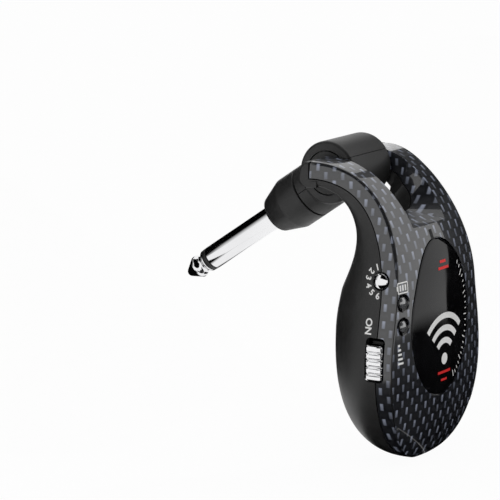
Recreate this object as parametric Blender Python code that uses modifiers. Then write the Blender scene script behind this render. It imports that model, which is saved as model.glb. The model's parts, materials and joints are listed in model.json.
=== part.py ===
"""Wireless guitar transmitter: a jack plug on a swivelling hub, held in the fork of a two-shell casing.

Metres, +Z up, front of the casing towards -Y, controls on the -X flank.
The origin is the middle of the collar's shoulder, where the plug goes into an instrument's jack.
"""
import math

import bmesh
import bpy
import numpy as np
from mathutils import Matrix, Vector

MM = 0.001

# Fits
GAP = 0.3 * MM
PARTING_GAP = 0.3 * MM

# Plug and collar, measured along the plug from the hinge axis
PLUG_REST_ANGLE = 34.0
PLUG_DIAMETER = 6.35 * MM
PLUG_LENGTH = 33.2 * MM
TIP_LENGTH = 7.9 * MM
TIP_WAIST_DIAMETER = 4.0 * MM
TIP_NOSE_RADIUS = 1.3 * MM
INSULATOR_WIDTH = 1.2 * MM
ROD_DIAMETER = 1.6 * MM
INSULATOR_WALL = 0.35 * MM
SLEEVE_FLANGE_DIAMETER = 9.2 * MM
SLEEVE_FLANGE_THICKNESS = 1.2 * MM
SHOULDER_REACH = 25.0 * MM
COLLAR_LENGTH = 12.6 * MM
COLLAR_DIAMETER = 14.2 * MM
COLLAR_NOSE_DIAMETER = 10.2 * MM
COLLAR_CONE_LENGTH = 6.3 * MM
COLLAR_EDGE = 0.7 * MM
COLLAR_WALL = 1.1 * MM
SPIGOT_LENGTH = 4.0 * MM
SPIGOT_WALL = 1.4 * MM

# Hinge hub
HUB_DIAMETER = 16.2 * MM
HUB_LENGTH = 18.8 * MM
HUB_EDGE = 0.9 * MM
HUB_WALL = 2.4 * MM
HUB_RIM = 2.3 * MM
HUB_RECESS = 1.2 * MM
BEARING_LENGTH = 3.2 * MM
PIN_DIAMETER = 3.0 * MM
PIN_REACH_IN_ARM = 7.2 * MM
LEAD_DIAMETER = 1.4 * MM
LEAD_FLANK_MARGIN = 2.3 * MM
LEAD_END_INSET = 4.5 * MM

# Casing: spine of the parting line
SPINE_RUN = 1.7 * MM
BEND_REACH = 20.9 * MM
BEND_DROP = 28.5 * MM
CASE_DROP = 72.1 * MM
BELLY_DROP = 46.3 * MM
DEEP_DROP = 38.5 * MM

# Casing: widths, front height and rear depth
ARM_SPAN = 38.8 * MM
WAIST_WIDTH = 33.0 * MM
NECK_WIDTH = 41.2 * MM
BELLY_WIDTH = 46.4 * MM
FRONT_HEIGHT = 4.2 * MM
FRONT_CROWN = 1.7 * MM
ARM_CROWN = 0.4 * MM
FRONT_EDGE = 0.9 * MM
SIDE_DRAFT = 0.4 * MM
ARM_DEPTH = 2.4 * MM
THROAT_DEPTH = 7.5 * MM
NECK_DEPTH = 18.4 * MM
BELLY_DEPTH = 20.2 * MM
ARM_FULLNESS = 5.0
REAR_FULLNESS = 2.5
BOTTOM_FULLNESS = 2.25
KNUCKLE_REACH = 2.5 * MM
KNUCKLE_EDGE = 0.8 * MM
CARBON_START = 0.6 * MM
WALL = 1.8 * MM
CAVITY_TOP_MARGIN = 3.0 * MM
CAVITY_CEILING = 3.4 * MM

# Fork notch
NOTCH_FLOOR_RADIUS = 7.6 * MM
NOTCH_FLOOR_ARC = 22.8 * MM
RAMP_ARC = 28.2 * MM
RAMP_HALF_WIDTH = 9.2 * MM
NOTCH_STRAIGHT = 9.5 * MM

# Oval plate
PLATE_WIDTH = 28.4 * MM
PLATE_HEIGHT = 38.2 * MM
PLATE_THICKNESS = 1.0 * MM
PLATE_DROP = 36.4 * MM
PLATE_PROUD = 0.1 * MM

# Controls on the left flank
BUTTON_DIAMETER = 4.1 * MM
BUTTON_FLANGE_DIAMETER = 5.4 * MM
BUTTON_FLANGE_THICKNESS = 0.6 * MM
BUTTON_TRAVEL = 0.4 * MM
BUTTON_PROUD = 0.9 * MM
BUTTON_DROP = 23.8 * MM
CONTROL_BACK = 0.5 * MM
SLOT_WIDTH = 5.4 * MM
SLOT_CORNER = 1.2 * MM
SLOT_DROP = 43.3 * MM
KNOB_LENGTH = 9.2 * MM
KNOB_WIDTH = 4.8 * MM
KNOB_TRAVEL = 1.3 * MM
KNOB_PROUD = 0.9 * MM
KNOB_RIBS = 4
KNOB_RIB_PITCH = 1.8 * MM
KNOB_RIB_WIDTH = 0.7 * MM
KNOB_RIB_DEPTH = 0.4 * MM
KNOB_EDGE = 0.6 * MM

# Indicator lenses on the front
LENS_DIAMETER = 3.0 * MM
LENS_DOME = 0.7 * MM
LENS_EDGE_MARGIN = 3.1 * MM
LENS_DROPS = (29.1 * MM, 35.1 * MM)
LENS_COUNTERSINK = 4.0 * MM
LENS_COUNTERSINK_DEPTH = 0.3 * MM
LED_SIZE = 1.6 * MM
LED_HEIGHT = 0.5 * MM

# Board and what stands on it
BOARD_SIDE_MARGIN = 4.0 * MM
BOARD_TOP_DROP = 20.9 * MM
BOARD_BOTTOM_DROP = 57.5 * MM
BOARD_THICKNESS = 1.0 * MM
BOARD_FRONT_LIFT = 2.2 * MM
BOARD_CORNER = 1.5 * MM
SCREW_DIAMETER = 1.4 * MM
SCREW_HEAD_DIAMETER = 2.4 * MM
SCREW_HEAD_HEIGHT = 0.8 * MM
SCREW_INSET = 3.2 * MM
SCREW_TIP_GAP = 0.3 * MM
BOSS_DIAMETER = 4.0 * MM
CELL_WIDTH = 23.0 * MM
CELL_HEIGHT = 18.8 * MM
CELL_THICKNESS = 7.5 * MM
CELL_EDGE = 1.0 * MM
CELL_TOP_DROP = 33.9 * MM
RADIO_WIDTH = 14.0 * MM
RADIO_HEIGHT = 7.6 * MM
RADIO_THICKNESS = 2.0 * MM
RADIO_TOP_DROP = 25.1 * MM
ANTENNA_WIDTH = 7.0 * MM
ANTENNA_HEIGHT = 2.0 * MM
ANTENNA_THICKNESS = 1.2 * MM
TACT_WIDTH = 4.5 * MM
TACT_THICKNESS = 2.8 * MM
TACT_DEPTH = 1.9 * MM
SLIDER_HEIGHT = 9.0 * MM
SLIDER_THICKNESS = 3.4 * MM
SLIDER_DEPTH = 6.0 * MM
USB_WIDTH = 7.5 * MM
USB_THICKNESS = 2.8 * MM
USB_DEPTH = 7.6 * MM
USB_WALL = 0.35 * MM
USB_DROP = 36.4 * MM
USB_INSET = 0.4 * MM

# Facets
SPINE_STEPS = 32
SPINE_CROWDING = 1.25
SIDE_STEPS = 9
ROUND_STEPS = 28
BARREL_STEPS = 48
SMALL_STEPS = 20
FINE_STEPS = 12

# Sizes that follow from the ones above
PLUG_RADIUS = PLUG_DIAMETER / 2
TIP_REACH = SHOULDER_REACH + PLUG_LENGTH
INSULATOR_REACH = TIP_REACH - TIP_LENGTH - INSULATOR_WIDTH
COLLAR_BACK = SHOULDER_REACH - COLLAR_LENGTH
SPIGOT_END = COLLAR_BACK + SPIGOT_LENGTH
FLANGE_START = SPIGOT_END + GAP
ROD_START = COLLAR_BACK - GAP
HUB_RADIUS = HUB_DIAMETER / 2
HUB_HALF = HUB_LENGTH / 2
HUB_CAVITY_HALF = HUB_HALF - HUB_RECESS - BEARING_LENGTH
SLOT_LENGTH = KNOB_LENGTH + KNOB_TRAVEL + 2 * GAP
NOTCH_HALF = HUB_HALF + GAP
PIN_RADIUS = PIN_DIAMETER / 2
PIN_OUTER = NOTCH_HALF + PIN_REACH_IN_ARM
BEND_LENGTH = math.pi / 2 * math.hypot(BEND_REACH, BEND_DROP) / math.sqrt(2)
ARC_END = SPINE_RUN + BEND_LENGTH
FACE_BACK = SPINE_RUN + BEND_REACH
SPINE_END = ARC_END + CASE_DROP - BEND_DROP
CAVITY_START = RAMP_ARC + CAVITY_TOP_MARGIN
BOARD_BACK_Y = -FACE_BACK - BOARD_FRONT_LIFT + BOARD_THICKNESS
BOARD_FRONT_Y = -FACE_BACK - BOARD_FRONT_LIFT
CEILING_Y = -FACE_BACK - CAVITY_CEILING
SCREW_END_Y = CEILING_Y + SCREW_TIP_GAP
BOSS_BASE_Y = CEILING_Y - GAP / 3
USB_Y = BOARD_BACK_Y + GAP + USB_THICKNESS / 2
CONTROL_Y = -FACE_BACK + CONTROL_BACK
BUTTON_SEAT = WALL + 3 * GAP
LENS_SIDE = NECK_WIDTH / 2 - LENS_EDGE_MARGIN
BOARD_WIDTH = CELL_WIDTH + 2 * BOARD_SIDE_MARGIN
LEAD_LIFT = -PARTING_GAP / 2 - LEAD_DIAMETER / 2
SIDES = (("left", -1), ("right", 1))
TIP = 0.3 * MM
REST = math.radians(PLUG_REST_ANGLE)
HINGE = Vector((0, -math.cos(REST), math.sin(REST))) * SHOULDER_REACH


def clear_scene():
    for old in list(bpy.data.objects):
        bpy.data.objects.remove(old)


def new_collection(name):
    group = bpy.data.collections.new(name)
    bpy.context.scene.collection.children.link(group)
    return group


def finish(name, colour, roughness, metallic=0.0):
    """A plain Principled material with the piece's colour."""
    mat = bpy.data.materials.new(name)
    mat.use_nodes = True
    shader = mat.node_tree.nodes["Principled BSDF"]
    shader.inputs["Base Color"].default_value = (*colour, 1)
    shader.inputs["Roughness"].default_value = roughness
    shader.inputs["Metallic"].default_value = metallic
    return mat


def pivot(name, location, rotation=(0, 0, 0)):
    empty = bpy.data.objects.new(name, None)
    empty.location = location
    empty.rotation_euler = rotation
    PARTS.objects.link(empty)
    return empty


def mesh_from(bm, name):
    bmesh.ops.recalc_face_normals(bm, faces=bm.faces)
    mesh = bpy.data.meshes.new(name)
    bm.to_mesh(mesh)
    bm.free()
    mesh.shade_smooth()
    mesh.set_sharp_from_angle(angle=math.radians(35))
    return mesh


def part(name, mesh, mat, parent, location=(0, 0, 0), rotation=(0, 0, 0)):
    obj = bpy.data.objects.new(name, mesh)
    mesh.materials.append(mat)
    obj.parent = parent
    obj.location = location
    obj.rotation_euler = rotation
    PARTS.objects.link(obj)
    return obj


def cutter(name, mesh, parent):
    obj = bpy.data.objects.new(name, mesh)
    obj.parent = parent
    obj.hide_render = True
    obj.display_type = "WIRE"
    CUTTERS.objects.link(obj)
    return obj


def cut(obj, tool, operation="DIFFERENCE"):
    step = obj.modifiers.new(tool.name, "BOOLEAN")
    step.operation = operation
    step.object = tool


def box_mesh(name, low, high, bevel=0.0):
    """A box between two corners, with its edges rounded when a bevel is given."""
    low, high = Vector(low), Vector(high)
    bm = bmesh.new()
    size = Matrix.Diagonal((*(high - low), 1))
    bmesh.ops.create_cube(bm, size=1, matrix=Matrix.Translation((low + high) / 2) @ size)
    if bevel:
        bmesh.ops.bevel(bm, geom=bm.edges[:], offset=bevel, segments=2, affect="EDGES", profile=0.5)
    return mesh_from(bm, name)


def rod_mesh(name, radius, start, end, axis="Z", offset=(0, 0, 0), end_radius=None, edge=0.0,
             steps=ROUND_STEPS):
    """A round bar from start to end along one axis, or a cone when the end radius differs."""
    along_x = Matrix.Rotation(math.pi / 2, 4, "Y")
    along_y = Matrix.Rotation(-math.pi / 2, 4, "X")
    turn = {"X": along_x, "Y": along_y, "Z": Matrix()}[axis]
    place = Matrix.Translation(offset) @ turn @ Matrix.Translation((0, 0, (start + end) / 2))
    bm = bmesh.new()
    far = radius if end_radius is None else end_radius
    bmesh.ops.create_cone(bm, cap_ends=True, segments=steps, radius1=radius, radius2=far, depth=end - start,
                          matrix=place)
    if edge:
        rims = [e for e in bm.edges if any(len(f.verts) > 4 for f in e.link_faces)]
        bmesh.ops.bevel(bm, geom=rims, offset=edge, segments=3, affect="EDGES", profile=0.5)
    return mesh_from(bm, name)


def outline_mesh(name, points, low, high, axis="X", bevel=0.0):
    """A flat outline drawn in the two other axes and extruded from low to high along one axis."""
    spots = {"X": lambda a, b, t: (t, a, b), "Y": lambda a, b, t: (a, t, b)}[axis]
    bm = bmesh.new()
    face = bm.faces.new([bm.verts.new(spots(a, b, low)) for a, b in points])
    grown = bmesh.ops.extrude_face_region(bm, geom=[face])
    move = Vector(spots(0, 0, high - low))
    bmesh.ops.translate(bm, vec=move, verts=[v for v in grown["geom"] if isinstance(v, bmesh.types.BMVert)])
    if bevel:
        rims = [e for e in bm.edges if any(len(f.verts) > 4 for f in e.link_faces)]
        bmesh.ops.bevel(bm, geom=rims, offset=bevel, segments=3, affect="EDGES", profile=0.5)
    return mesh_from(bm, name)


def loft_mesh(name, rings):
    """A closed skin through equal rings of points, capped at both ends by strips from side to side."""
    bm = bmesh.new()
    rows = [[bm.verts.new(p) for p in ring] for ring in rings]
    for low, high in zip(rows, rows[1:]):
        for a, b, c, d in zip(low, low[1:] + low[:1], high[1:] + high[:1], high):
            bm.faces.new((a, b, c, d))
    for row in (rows[0], rows[-1]):
        for low, high in zip(range(len(row) // 2), range(len(row) - 1, 0, -1)):
            cap = dict.fromkeys((row[low], row[low + 1], row[high - 1], row[high]))
            if len(cap) > 2:
                bm.faces.new(cap)
    return mesh_from(bm, name)


def turned(name, profile, mat, parent, location=(0, 0, 0), rotation=(0, 0, 0), steps=ROUND_STEPS):
    """A profile of (radius, height) pairs, listed top to bottom, turned round the local Z axis."""
    mesh = bpy.data.meshes.new(name)
    solid = profile[0][0] == 0 and profile[-1][0] == 0
    links = [(i, i + 1) for i in range(len(profile) - 1)]
    if not solid:
        links.append((len(profile) - 1, 0))
    mesh.from_pydata([(r, 0, z) for r, z in profile], links, [])
    obj = part(name, mesh, mat, parent, location, rotation)
    screw = obj.modifiers.new("turn", "SCREW")
    screw.steps = screw.render_steps = steps
    screw.use_merge_vertices = True
    screw.merge_threshold = 0.000001
    return obj


def tube(name, points, diameter, mat, parent):
    """A round lead through the points, with closed ends."""
    line = bpy.data.curves.new(name, "CURVE")
    line.dimensions = "3D"
    line.bevel_depth = diameter / 2
    line.bevel_resolution = 1
    line.use_fill_caps = True
    spline = line.splines.new("POLY")
    spline.points.add(len(points) - 1)
    for spot, place in zip(spline.points, points):
        spot.co = (*place, 1)
    return part(name, line, mat, parent)


def eased(stations, s):
    """A smooth curve through (place, value) stations: cubic pieces with central slopes."""
    places, values = np.array(stations, float).T
    slopes = np.gradient(values, places)
    slopes[[0, -1]] = 0
    i = np.clip(np.searchsorted(places, s) - 1, 0, len(places) - 2)
    step = places[i + 1] - places[i]
    t = np.clip((s - places[i]) / step, 0, 1)
    start = values[i] * (1 + 2 * t) * (1 - t) ** 2 + slopes[i] * step * t * (1 - t) ** 2
    end = values[i + 1] * (3 - 2 * t) * t**2 - slopes[i + 1] * step * t**2 * (1 - t)
    return start + end


def drop_to_arc(drop):
    """The place on the spine of a point on it that lies this far below the hinge."""
    if drop > BEND_DROP:
        return ARC_END + drop - BEND_DROP
    return SPINE_RUN + BEND_LENGTH * math.acos(1 - drop / BEND_DROP) / (math.pi / 2)


def closing(s, drop=BELLY_DROP):
    """How full the casing still is towards its round bottom: 1 down to a drop, 0 at the end."""
    start = drop_to_arc(drop)
    t = np.clip((s - start) / (SPINE_END - start), 0, 1)
    return (1 - t**BOTTOM_FULLNESS) ** (1 / BOTTOM_FULLNESS)


def half_width(s):
    """Half width along the spine: arms, a narrow waist in the bend, then widening down to the belly."""
    waist = SPINE_RUN + BEND_LENGTH / 3
    stations = [(0, ARM_SPAN / 2), (waist, WAIST_WIDTH / 2), (ARC_END, NECK_WIDTH / 2)]
    stations.append((drop_to_arc(BELLY_DROP), BELLY_WIDTH / 2))
    return eased(stations, s) * closing(s)


def rear_depth(s):
    """Depth of the rear shell behind the parting line."""
    throat = SPINE_RUN + BEND_LENGTH / 2
    stations = [(0, ARM_DEPTH), (throat, THROAT_DEPTH), (ARC_END, NECK_DEPTH)]
    stations.append((drop_to_arc(DEEP_DROP), BELLY_DEPTH))
    return eased(stations, s) * closing(s, DEEP_DROP)


def front_height(x, s):
    """Height of the crowned front face over the parting line."""
    crown = eased([(SPINE_RUN, ARM_CROWN), (ARC_END, FRONT_CROWN), (SPINE_END, FRONT_CROWN)], s)
    return (FRONT_HEIGHT + crown * (1 - (x / half_width(s)) ** 2)) * closing(s)


def on_spine(x, s, lift):
    """A point beside the spine: out from the hinge, round a quarter of an ellipse, then straight down."""
    turn = np.clip((s - SPINE_RUN) / BEND_LENGTH, 0, 1) * math.pi / 2
    out_y = BEND_DROP * np.sin(turn)
    out_z = BEND_REACH * np.cos(turn)
    share = lift / np.hypot(out_y, out_z)
    y = -np.minimum(s, SPINE_RUN) - BEND_REACH * np.sin(turn) - share * out_y
    z = share * out_z - BEND_DROP * (1 - np.cos(turn)) - np.maximum(s - ARC_END, 0)
    return float(x), float(y), float(z)


def spine_places(start, end):
    """Places along the spine, closer together towards the round bottom."""
    t = np.linspace(0, 1, SPINE_STEPS)
    return start + (end - start) * (1 - (1 - t) ** SPINE_CROWDING)


def front_ring(s, base, inset=0.0):
    """Half section of the front shell: side wall with draft, rounded edge, crowned face."""
    wide = half_width(s) - inset
    edge = min(FRONT_EDGE, 0.4 * wide) * closing(s)
    flat = max(wide - SIDE_DRAFT * closing(s) - edge, 0.2 * wide)
    ring = [(-wide, base)]
    for angle in np.linspace(0, math.pi / 2, 4):
        x = -flat - edge * math.cos(angle)
        ring.append((x, front_height(flat, s) - edge * (1 - math.sin(angle))))
    ring += [(x, front_height(x, s)) for x in np.linspace(-flat, flat, SIDE_STEPS)[1:-1]]
    ring += [(-x, lift) for x, lift in reversed(ring[:5])]
    return ring


def rear_ring(s, base, inset=0.0, shallow=0.0):
    """Half section of the rear shell: a full, rounded D from flank to flank."""
    wide = half_width(s) - inset
    deep = max(rear_depth(s) - shallow, 0.2 * rear_depth(s))
    power = 2 / eased([(0, ARM_FULLNESS), (ARC_END, REAR_FULLNESS), (SPINE_END, REAR_FULLNESS)], s)
    angles = np.linspace(0, math.pi, 2 * SIDE_STEPS + 1)
    side = np.sign(np.cos(angles)) * np.abs(np.cos(angles)) ** power
    down = np.abs(np.sin(angles)) ** power
    return [(wide * a, base - (deep + base) * b) for a, b in zip(side, down)]


def ring_on_spine(section, s):
    return [on_spine(x, s, lift) for x, lift in section]


def notch_side(end, end_half, rounded, steps=12):
    """One side of the notch as (half width, place): straight past the hub, then drawn in to its floor."""
    open_end = -2 * HUB_RADIUS
    side = [(NOTCH_HALF, s) for s in np.linspace(open_end, SPINE_RUN + NOTCH_STRAIGHT, 6)]
    if rounded:
        middle = end - end_half
        turns = np.linspace(0, math.pi / 2, steps)
        return side + [(max(end_half * math.cos(a), TIP), middle + end_half * math.sin(a)) for a in turns]
    first = SPINE_RUN + NOTCH_STRAIGHT + GAP
    shares = np.linspace(0, 1, steps - 1)
    side += [(NOTCH_HALF + (end_half - NOTCH_HALF) * t**2, first + (end - first) * t) for t in shares]
    return side + [(TIP, end)]


def notch_mesh(name, layers):
    """The fork notch: its side outline given on several lifts, mirrored and swept round the bend."""
    rings = []
    for spots in zip(*(side for lift, side in layers)):
        ring = [on_spine(-x, s, lift) for (x, s), (lift, side) in zip(spots, layers)]
        ring += [on_spine(x, s, lift) for (x, s), (lift, side) in reversed(list(zip(spots, layers)))]
        rings.append(ring)
    return loft_mesh(name, rings)


def oval_patch(name, width, height, low, high, rings=4, steps=40):
    """An oval slab that follows the crowned front face, from low to high over it."""
    turns = np.linspace(0, 2 * math.pi, steps, endpoint=False)
    levels = [(k / rings, low) for k in range(1, rings + 1)]
    levels += [(k / rings, high) for k in range(rings, 0, -1)]
    skin = []
    for share, lift in levels:
        ring = []
        for a in turns:
            x = share * width / 2 * math.cos(a)
            s = drop_to_arc(PLATE_DROP - share * height / 2 * math.sin(a))
            ring.append(on_spine(x, s, front_height(x, s) + lift))
        skin.append(ring)
    return loft_mesh(name, skin)


def rounded_slot(length, width, corner, centre, steps=4):
    """Corner points of a rounded rectangle, long side up."""
    points = []
    for i, (sx, sz) in enumerate(((1, 1), (-1, 1), (-1, -1), (1, -1))):
        for k in range(steps + 1):
            a = math.pi / 2 * (i + k / steps)
            x = centre[0] + sx * (width / 2 - corner) + corner * math.cos(a)
            z = centre[1] + sz * (length / 2 - corner) + corner * math.sin(a)
            points.append((x, z))
    return points


def flank(drop):
    """Half width of the casing at this drop below the hinge."""
    return float(half_width(drop_to_arc(drop)))


def lead_side(s):
    """How far a lead in an arm lies from the middle of the casing."""
    return half_width(s) - LEAD_FLANK_MARGIN


def channel_mesh(name, side):
    """A round lead channel along the parting line of one arm, open to the front shell."""
    radius = LEAD_DIAMETER / 2 + GAP
    turns = np.linspace(0, 2 * math.pi, 10, endpoint=False)
    rings = []
    for s in np.linspace(0, CAVITY_START + GAP, 16):
        middle = side * lead_side(s)
        spots = [(middle + radius * math.cos(a), LEAD_LIFT + radius * math.sin(a)) for a in turns]
        rings.append(ring_on_spine(spots, s))
    return loft_mesh(name, rings)


def knuckle_outline():
    """Side outline of the rounded arm ends: a round about the hinge axis, with a root inside the arm."""
    turns = np.linspace(math.pi / 2, -math.pi / 2, 15)
    heights = [FRONT_HEIGHT if a > 0 else ARM_DEPTH for a in turns]
    round_end = [(KNUCKLE_REACH * math.cos(a), h * math.sin(a)) for a, h in zip(turns, heights)]
    root = -PIN_DIAMETER
    inside = -2 * GAP
    foot = [(root, GAP - ARM_DEPTH), (root, inside), (-CARBON_START, inside)]
    return [(-CARBON_START, FRONT_HEIGHT)] + round_end + foot


def front_cavity_ring(s):
    wide = half_width(s) - WALL
    top = min(CAVITY_CEILING, FRONT_HEIGHT * closing(s) - WALL / 2)
    return [(-wide, -GAP), (-wide, top), (wide, top), (wide, -GAP)]


def casing_shells(casing, carbon, matte):
    """Front and rear shells, hollow below the fork, with the fork notch and every cut-out."""
    half = PARTING_GAP / 2
    bottom = SPINE_END - TIP
    front_places = spine_places(CARBON_START + GAP, bottom)
    rear_places = spine_places(0, bottom)
    cavity_places = spine_places(CAVITY_START, SPINE_END - 3 * WALL)
    front_skin = [ring_on_spine(front_ring(s, half), s) for s in front_places]
    rear_skin = [ring_on_spine(rear_ring(s, -half), s) for s in rear_places]
    front = part("front_shell", loft_mesh("front_shell", front_skin), carbon, casing)
    rear = part("rear_shell", loft_mesh("rear_shell", rear_skin), matte, casing)

    knuckle = outline_mesh("knuckle", knuckle_outline(), -ARM_SPAN / 2, ARM_SPAN / 2, bevel=KNUCKLE_EDGE)
    cut(rear, cutter("knuckle", knuckle, casing), "UNION")

    floor = notch_side(NOTCH_FLOOR_ARC, NOTCH_FLOOR_RADIUS, True)
    ramp = notch_side(RAMP_ARC, RAMP_HALF_WIDTH, False)
    deep = BEND_REACH - 5 * WALL
    cut(rear, cutter("rear_notch", notch_mesh("rear_notch", [(-deep, floor), (deep, floor)]), casing))
    face = FRONT_HEIGHT + FRONT_CROWN
    layers = [(-GAP, floor), (half + GAP, floor), (face, ramp), (deep, ramp)]
    cut(front, cutter("front_notch", notch_mesh("front_notch", layers), casing))

    front_hollow = loft_mesh("front_cavity", [ring_on_spine(front_cavity_ring(s), s) for s in cavity_places])
    cut(front, cutter("front_cavity", front_hollow, casing))
    rear_hollow = [ring_on_spine(rear_ring(s, GAP, WALL, WALL), s) for s in cavity_places]
    cut(rear, cutter("rear_cavity", loft_mesh("rear_cavity", rear_hollow), casing))

    recess_size = (PLATE_WIDTH + 2 * GAP, PLATE_HEIGHT + 2 * GAP)
    recess = oval_patch("plate_recess", *recess_size, -PLATE_THICKNESS - GAP, 3 * WALL)
    cut(front, cutter("plate_recess", recess, casing))
    for i, drop in enumerate(LENS_DROPS):
        lens_hole(front, casing, f"lens_hole_{i + 1}", drop)

    reach = PIN_OUTER + GAP
    bore = rod_mesh("pin_bore", PIN_RADIUS + GAP, -reach, reach, "X")
    button_place = (0, CONTROL_Y, -BUTTON_DROP)
    button_bore = rod_mesh("button_bore", BUTTON_DIAMETER / 2 + GAP, -BELLY_WIDTH, 0, "X", button_place)
    slot_points = rounded_slot(SLOT_LENGTH, SLOT_WIDTH, SLOT_CORNER, (CONTROL_Y, -SLOT_DROP))
    slot = outline_mesh("switch_slot", slot_points, -BELLY_WIDTH, 0)
    port_points = rounded_slot(USB_WIDTH + 2 * GAP, USB_THICKNESS + 2 * GAP, GAP * 2, (USB_Y, -USB_DROP))
    port = outline_mesh("usb_port", port_points, 0, BELLY_WIDTH)
    for mesh in (bore, button_bore, slot, port):
        tool = cutter(mesh.name, mesh, casing)
        cut(front, tool)
        cut(rear, tool)
    for name, side in SIDES:
        cut(rear, cutter(f"lead_channel_{name}", channel_mesh(f"lead_channel_{name}", side), casing))
    for name, x, z in screw_places():
        ends = (BOSS_BASE_Y, BOARD_FRONT_Y - GAP)
        boss = rod_mesh(f"boss_{name}", BOSS_DIAMETER / 2, *ends, "Y", (x, 0, z), steps=FINE_STEPS)
        cut(front, cutter(boss.name, boss, casing), "UNION")
        hole_radius = SCREW_DIAMETER / 2 + GAP
        ends = (SCREW_END_Y - GAP, BOARD_FRONT_Y)
        hole = rod_mesh(f"boss_hole_{name}", hole_radius, *ends, "Y", (x, 0, z), steps=FINE_STEPS)
        cut(front, cutter(hole.name, hole, casing))


def screw_places():
    """The board's four screws, one near each corner."""
    x = BOARD_WIDTH / 2 - SCREW_INSET
    rows = (("top", -BOARD_TOP_DROP - SCREW_INSET), ("bottom", -BOARD_BOTTOM_DROP + SCREW_INSET))
    return [(f"{row}_{name}", side * x, z) for row, z in rows for name, side in SIDES]


def lens_lift(drop):
    """Height of the front face over the parting line where a lens comes through it."""
    return float(front_height(LENS_SIDE, drop_to_arc(drop)))


def lens_hole(front, casing, name, drop):
    """A countersunk hole through the front shell for one indicator lens."""
    place = (-LENS_SIDE, -FACE_BACK, -drop)
    face = lens_lift(drop)
    hole = rod_mesh(name, LENS_DIAMETER / 2 + GAP, -face - WALL, 0, "Y", place, steps=SMALL_STEPS)
    cut(front, cutter(name, hole, casing))
    wide = LENS_COUNTERSINK / 2
    sink_name = name + "_sink"
    slope = wide + LENS_COUNTERSINK_DEPTH
    ends = (-face - LENS_COUNTERSINK_DEPTH, -face + LENS_COUNTERSINK_DEPTH)
    bottom = wide - LENS_COUNTERSINK_DEPTH
    sink = rod_mesh(sink_name, slope, *ends, "Y", place, end_radius=bottom, steps=SMALL_STEPS)
    cut(front, cutter(sink_name, sink, casing))


def indicator(casing, name, drop, lens_mat, led_mat):
    """A domed lens in the front shell, and the light behind it on the board."""
    low = CAVITY_CEILING - GAP / 3
    radius = LENS_DIAMETER / 2
    face = lens_lift(drop)
    turns = np.linspace(0, math.pi / 2, 6)
    dome = [(radius * math.sin(a), face - LENS_DOME / 2 + LENS_DOME * math.cos(a)) for a in turns]
    dome[0] = (0, dome[0][1])
    place = (-LENS_SIDE, -FACE_BACK, -drop)
    profile = dome + [(radius, low), (0, low)]
    turned(f"{name}_lens", profile, lens_mat, casing, place, (math.pi / 2, 0, 0), SMALL_STEPS)
    light_low = BOARD_FRONT_Y - GAP
    corner = (-LENS_SIDE - LED_SIZE / 2, light_low - LED_HEIGHT, -drop - LED_SIZE / 2)
    far = (-LENS_SIDE + LED_SIZE / 2, light_low, -drop + LED_SIZE / 2)
    part(f"{name}_light", box_mesh(f"{name}_light", corner, far), led_mat, casing)


def channel_button(casing, mat):
    """A domed push button with a flange that keeps it behind the shell wall. Its axis is the local Z."""
    radius = BUTTON_DIAMETER / 2
    wide = BUTTON_FLANGE_DIAMETER / 2
    back = -BUTTON_SEAT
    dome = [(radius * math.sin(a), BUTTON_PROUD * math.cos(a)) for a in np.linspace(0, math.pi / 2, 8)]
    dome[0] = (0, BUTTON_PROUD)
    foot = back - BUTTON_FLANGE_THICKNESS
    skirt = [(radius, back), (wide, back), (wide, foot), (0, foot)]
    place = (-flank(BUTTON_DROP), CONTROL_Y, -BUTTON_DROP)
    turned("channel_button", dome + skirt, mat, casing, place, (0, -math.pi / 2, 0), SMALL_STEPS)


def tact_switch(casing, mat):
    """The small key switch behind the button, on the back of the board."""
    outer = -flank(BUTTON_DROP) + BUTTON_SEAT + BUTTON_FLANGE_THICKNESS + BUTTON_TRAVEL + GAP / 2
    low = (outer, BOARD_BACK_Y + GAP, -BUTTON_DROP - TACT_WIDTH / 2)
    high = (outer + TACT_DEPTH, BOARD_BACK_Y + GAP + TACT_THICKNESS, -BUTTON_DROP + TACT_WIDTH / 2)
    part("tact_switch", box_mesh("tact_switch", low, high, GAP), mat, casing)


def power_switch(casing, metal, mat):
    """The ribbed knob in its slot at the OFF end, and the slide switch that it works."""
    outer = flank(SLOT_DROP) + KNOB_PROUD
    inner = flank(SLOT_DROP) - WALL - GAP
    rest = -SLOT_DROP - KNOB_TRAVEL / 2
    low = (-outer, CONTROL_Y - KNOB_WIDTH / 2, rest - KNOB_LENGTH / 2)
    high = (-inner, CONTROL_Y + KNOB_WIDTH / 2, rest + KNOB_LENGTH / 2)
    middle = (Vector(low) + Vector(high)) / 2
    shape = box_mesh("power_switch_knob", Vector(low) - middle, Vector(high) - middle, KNOB_EDGE)
    knob = part("power_switch_knob", shape, metal, casing, middle)
    for i in range(KNOB_RIBS):
        z = rest + (i - (KNOB_RIBS - 1) / 2) * KNOB_RIB_PITCH
        groove_low = (-outer - GAP, CONTROL_Y - KNOB_WIDTH, z - KNOB_RIB_WIDTH / 2)
        groove_high = (-outer + KNOB_RIB_DEPTH, CONTROL_Y + KNOB_WIDTH, z + KNOB_RIB_WIDTH / 2)
        groove = box_mesh(f"knob_groove_{i + 1}", groove_low, groove_high)
        cut(knob, cutter(groove.name, groove, casing))
    seat = BOARD_BACK_Y + GAP
    side = -inner + GAP
    body_low = (side, seat, -SLOT_DROP - SLIDER_HEIGHT / 2)
    body_high = (side + SLIDER_DEPTH, seat + SLIDER_THICKNESS, -SLOT_DROP + SLIDER_HEIGHT / 2)
    part("slide_switch", box_mesh("slide_switch", body_low, body_high, GAP), mat, casing)


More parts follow.
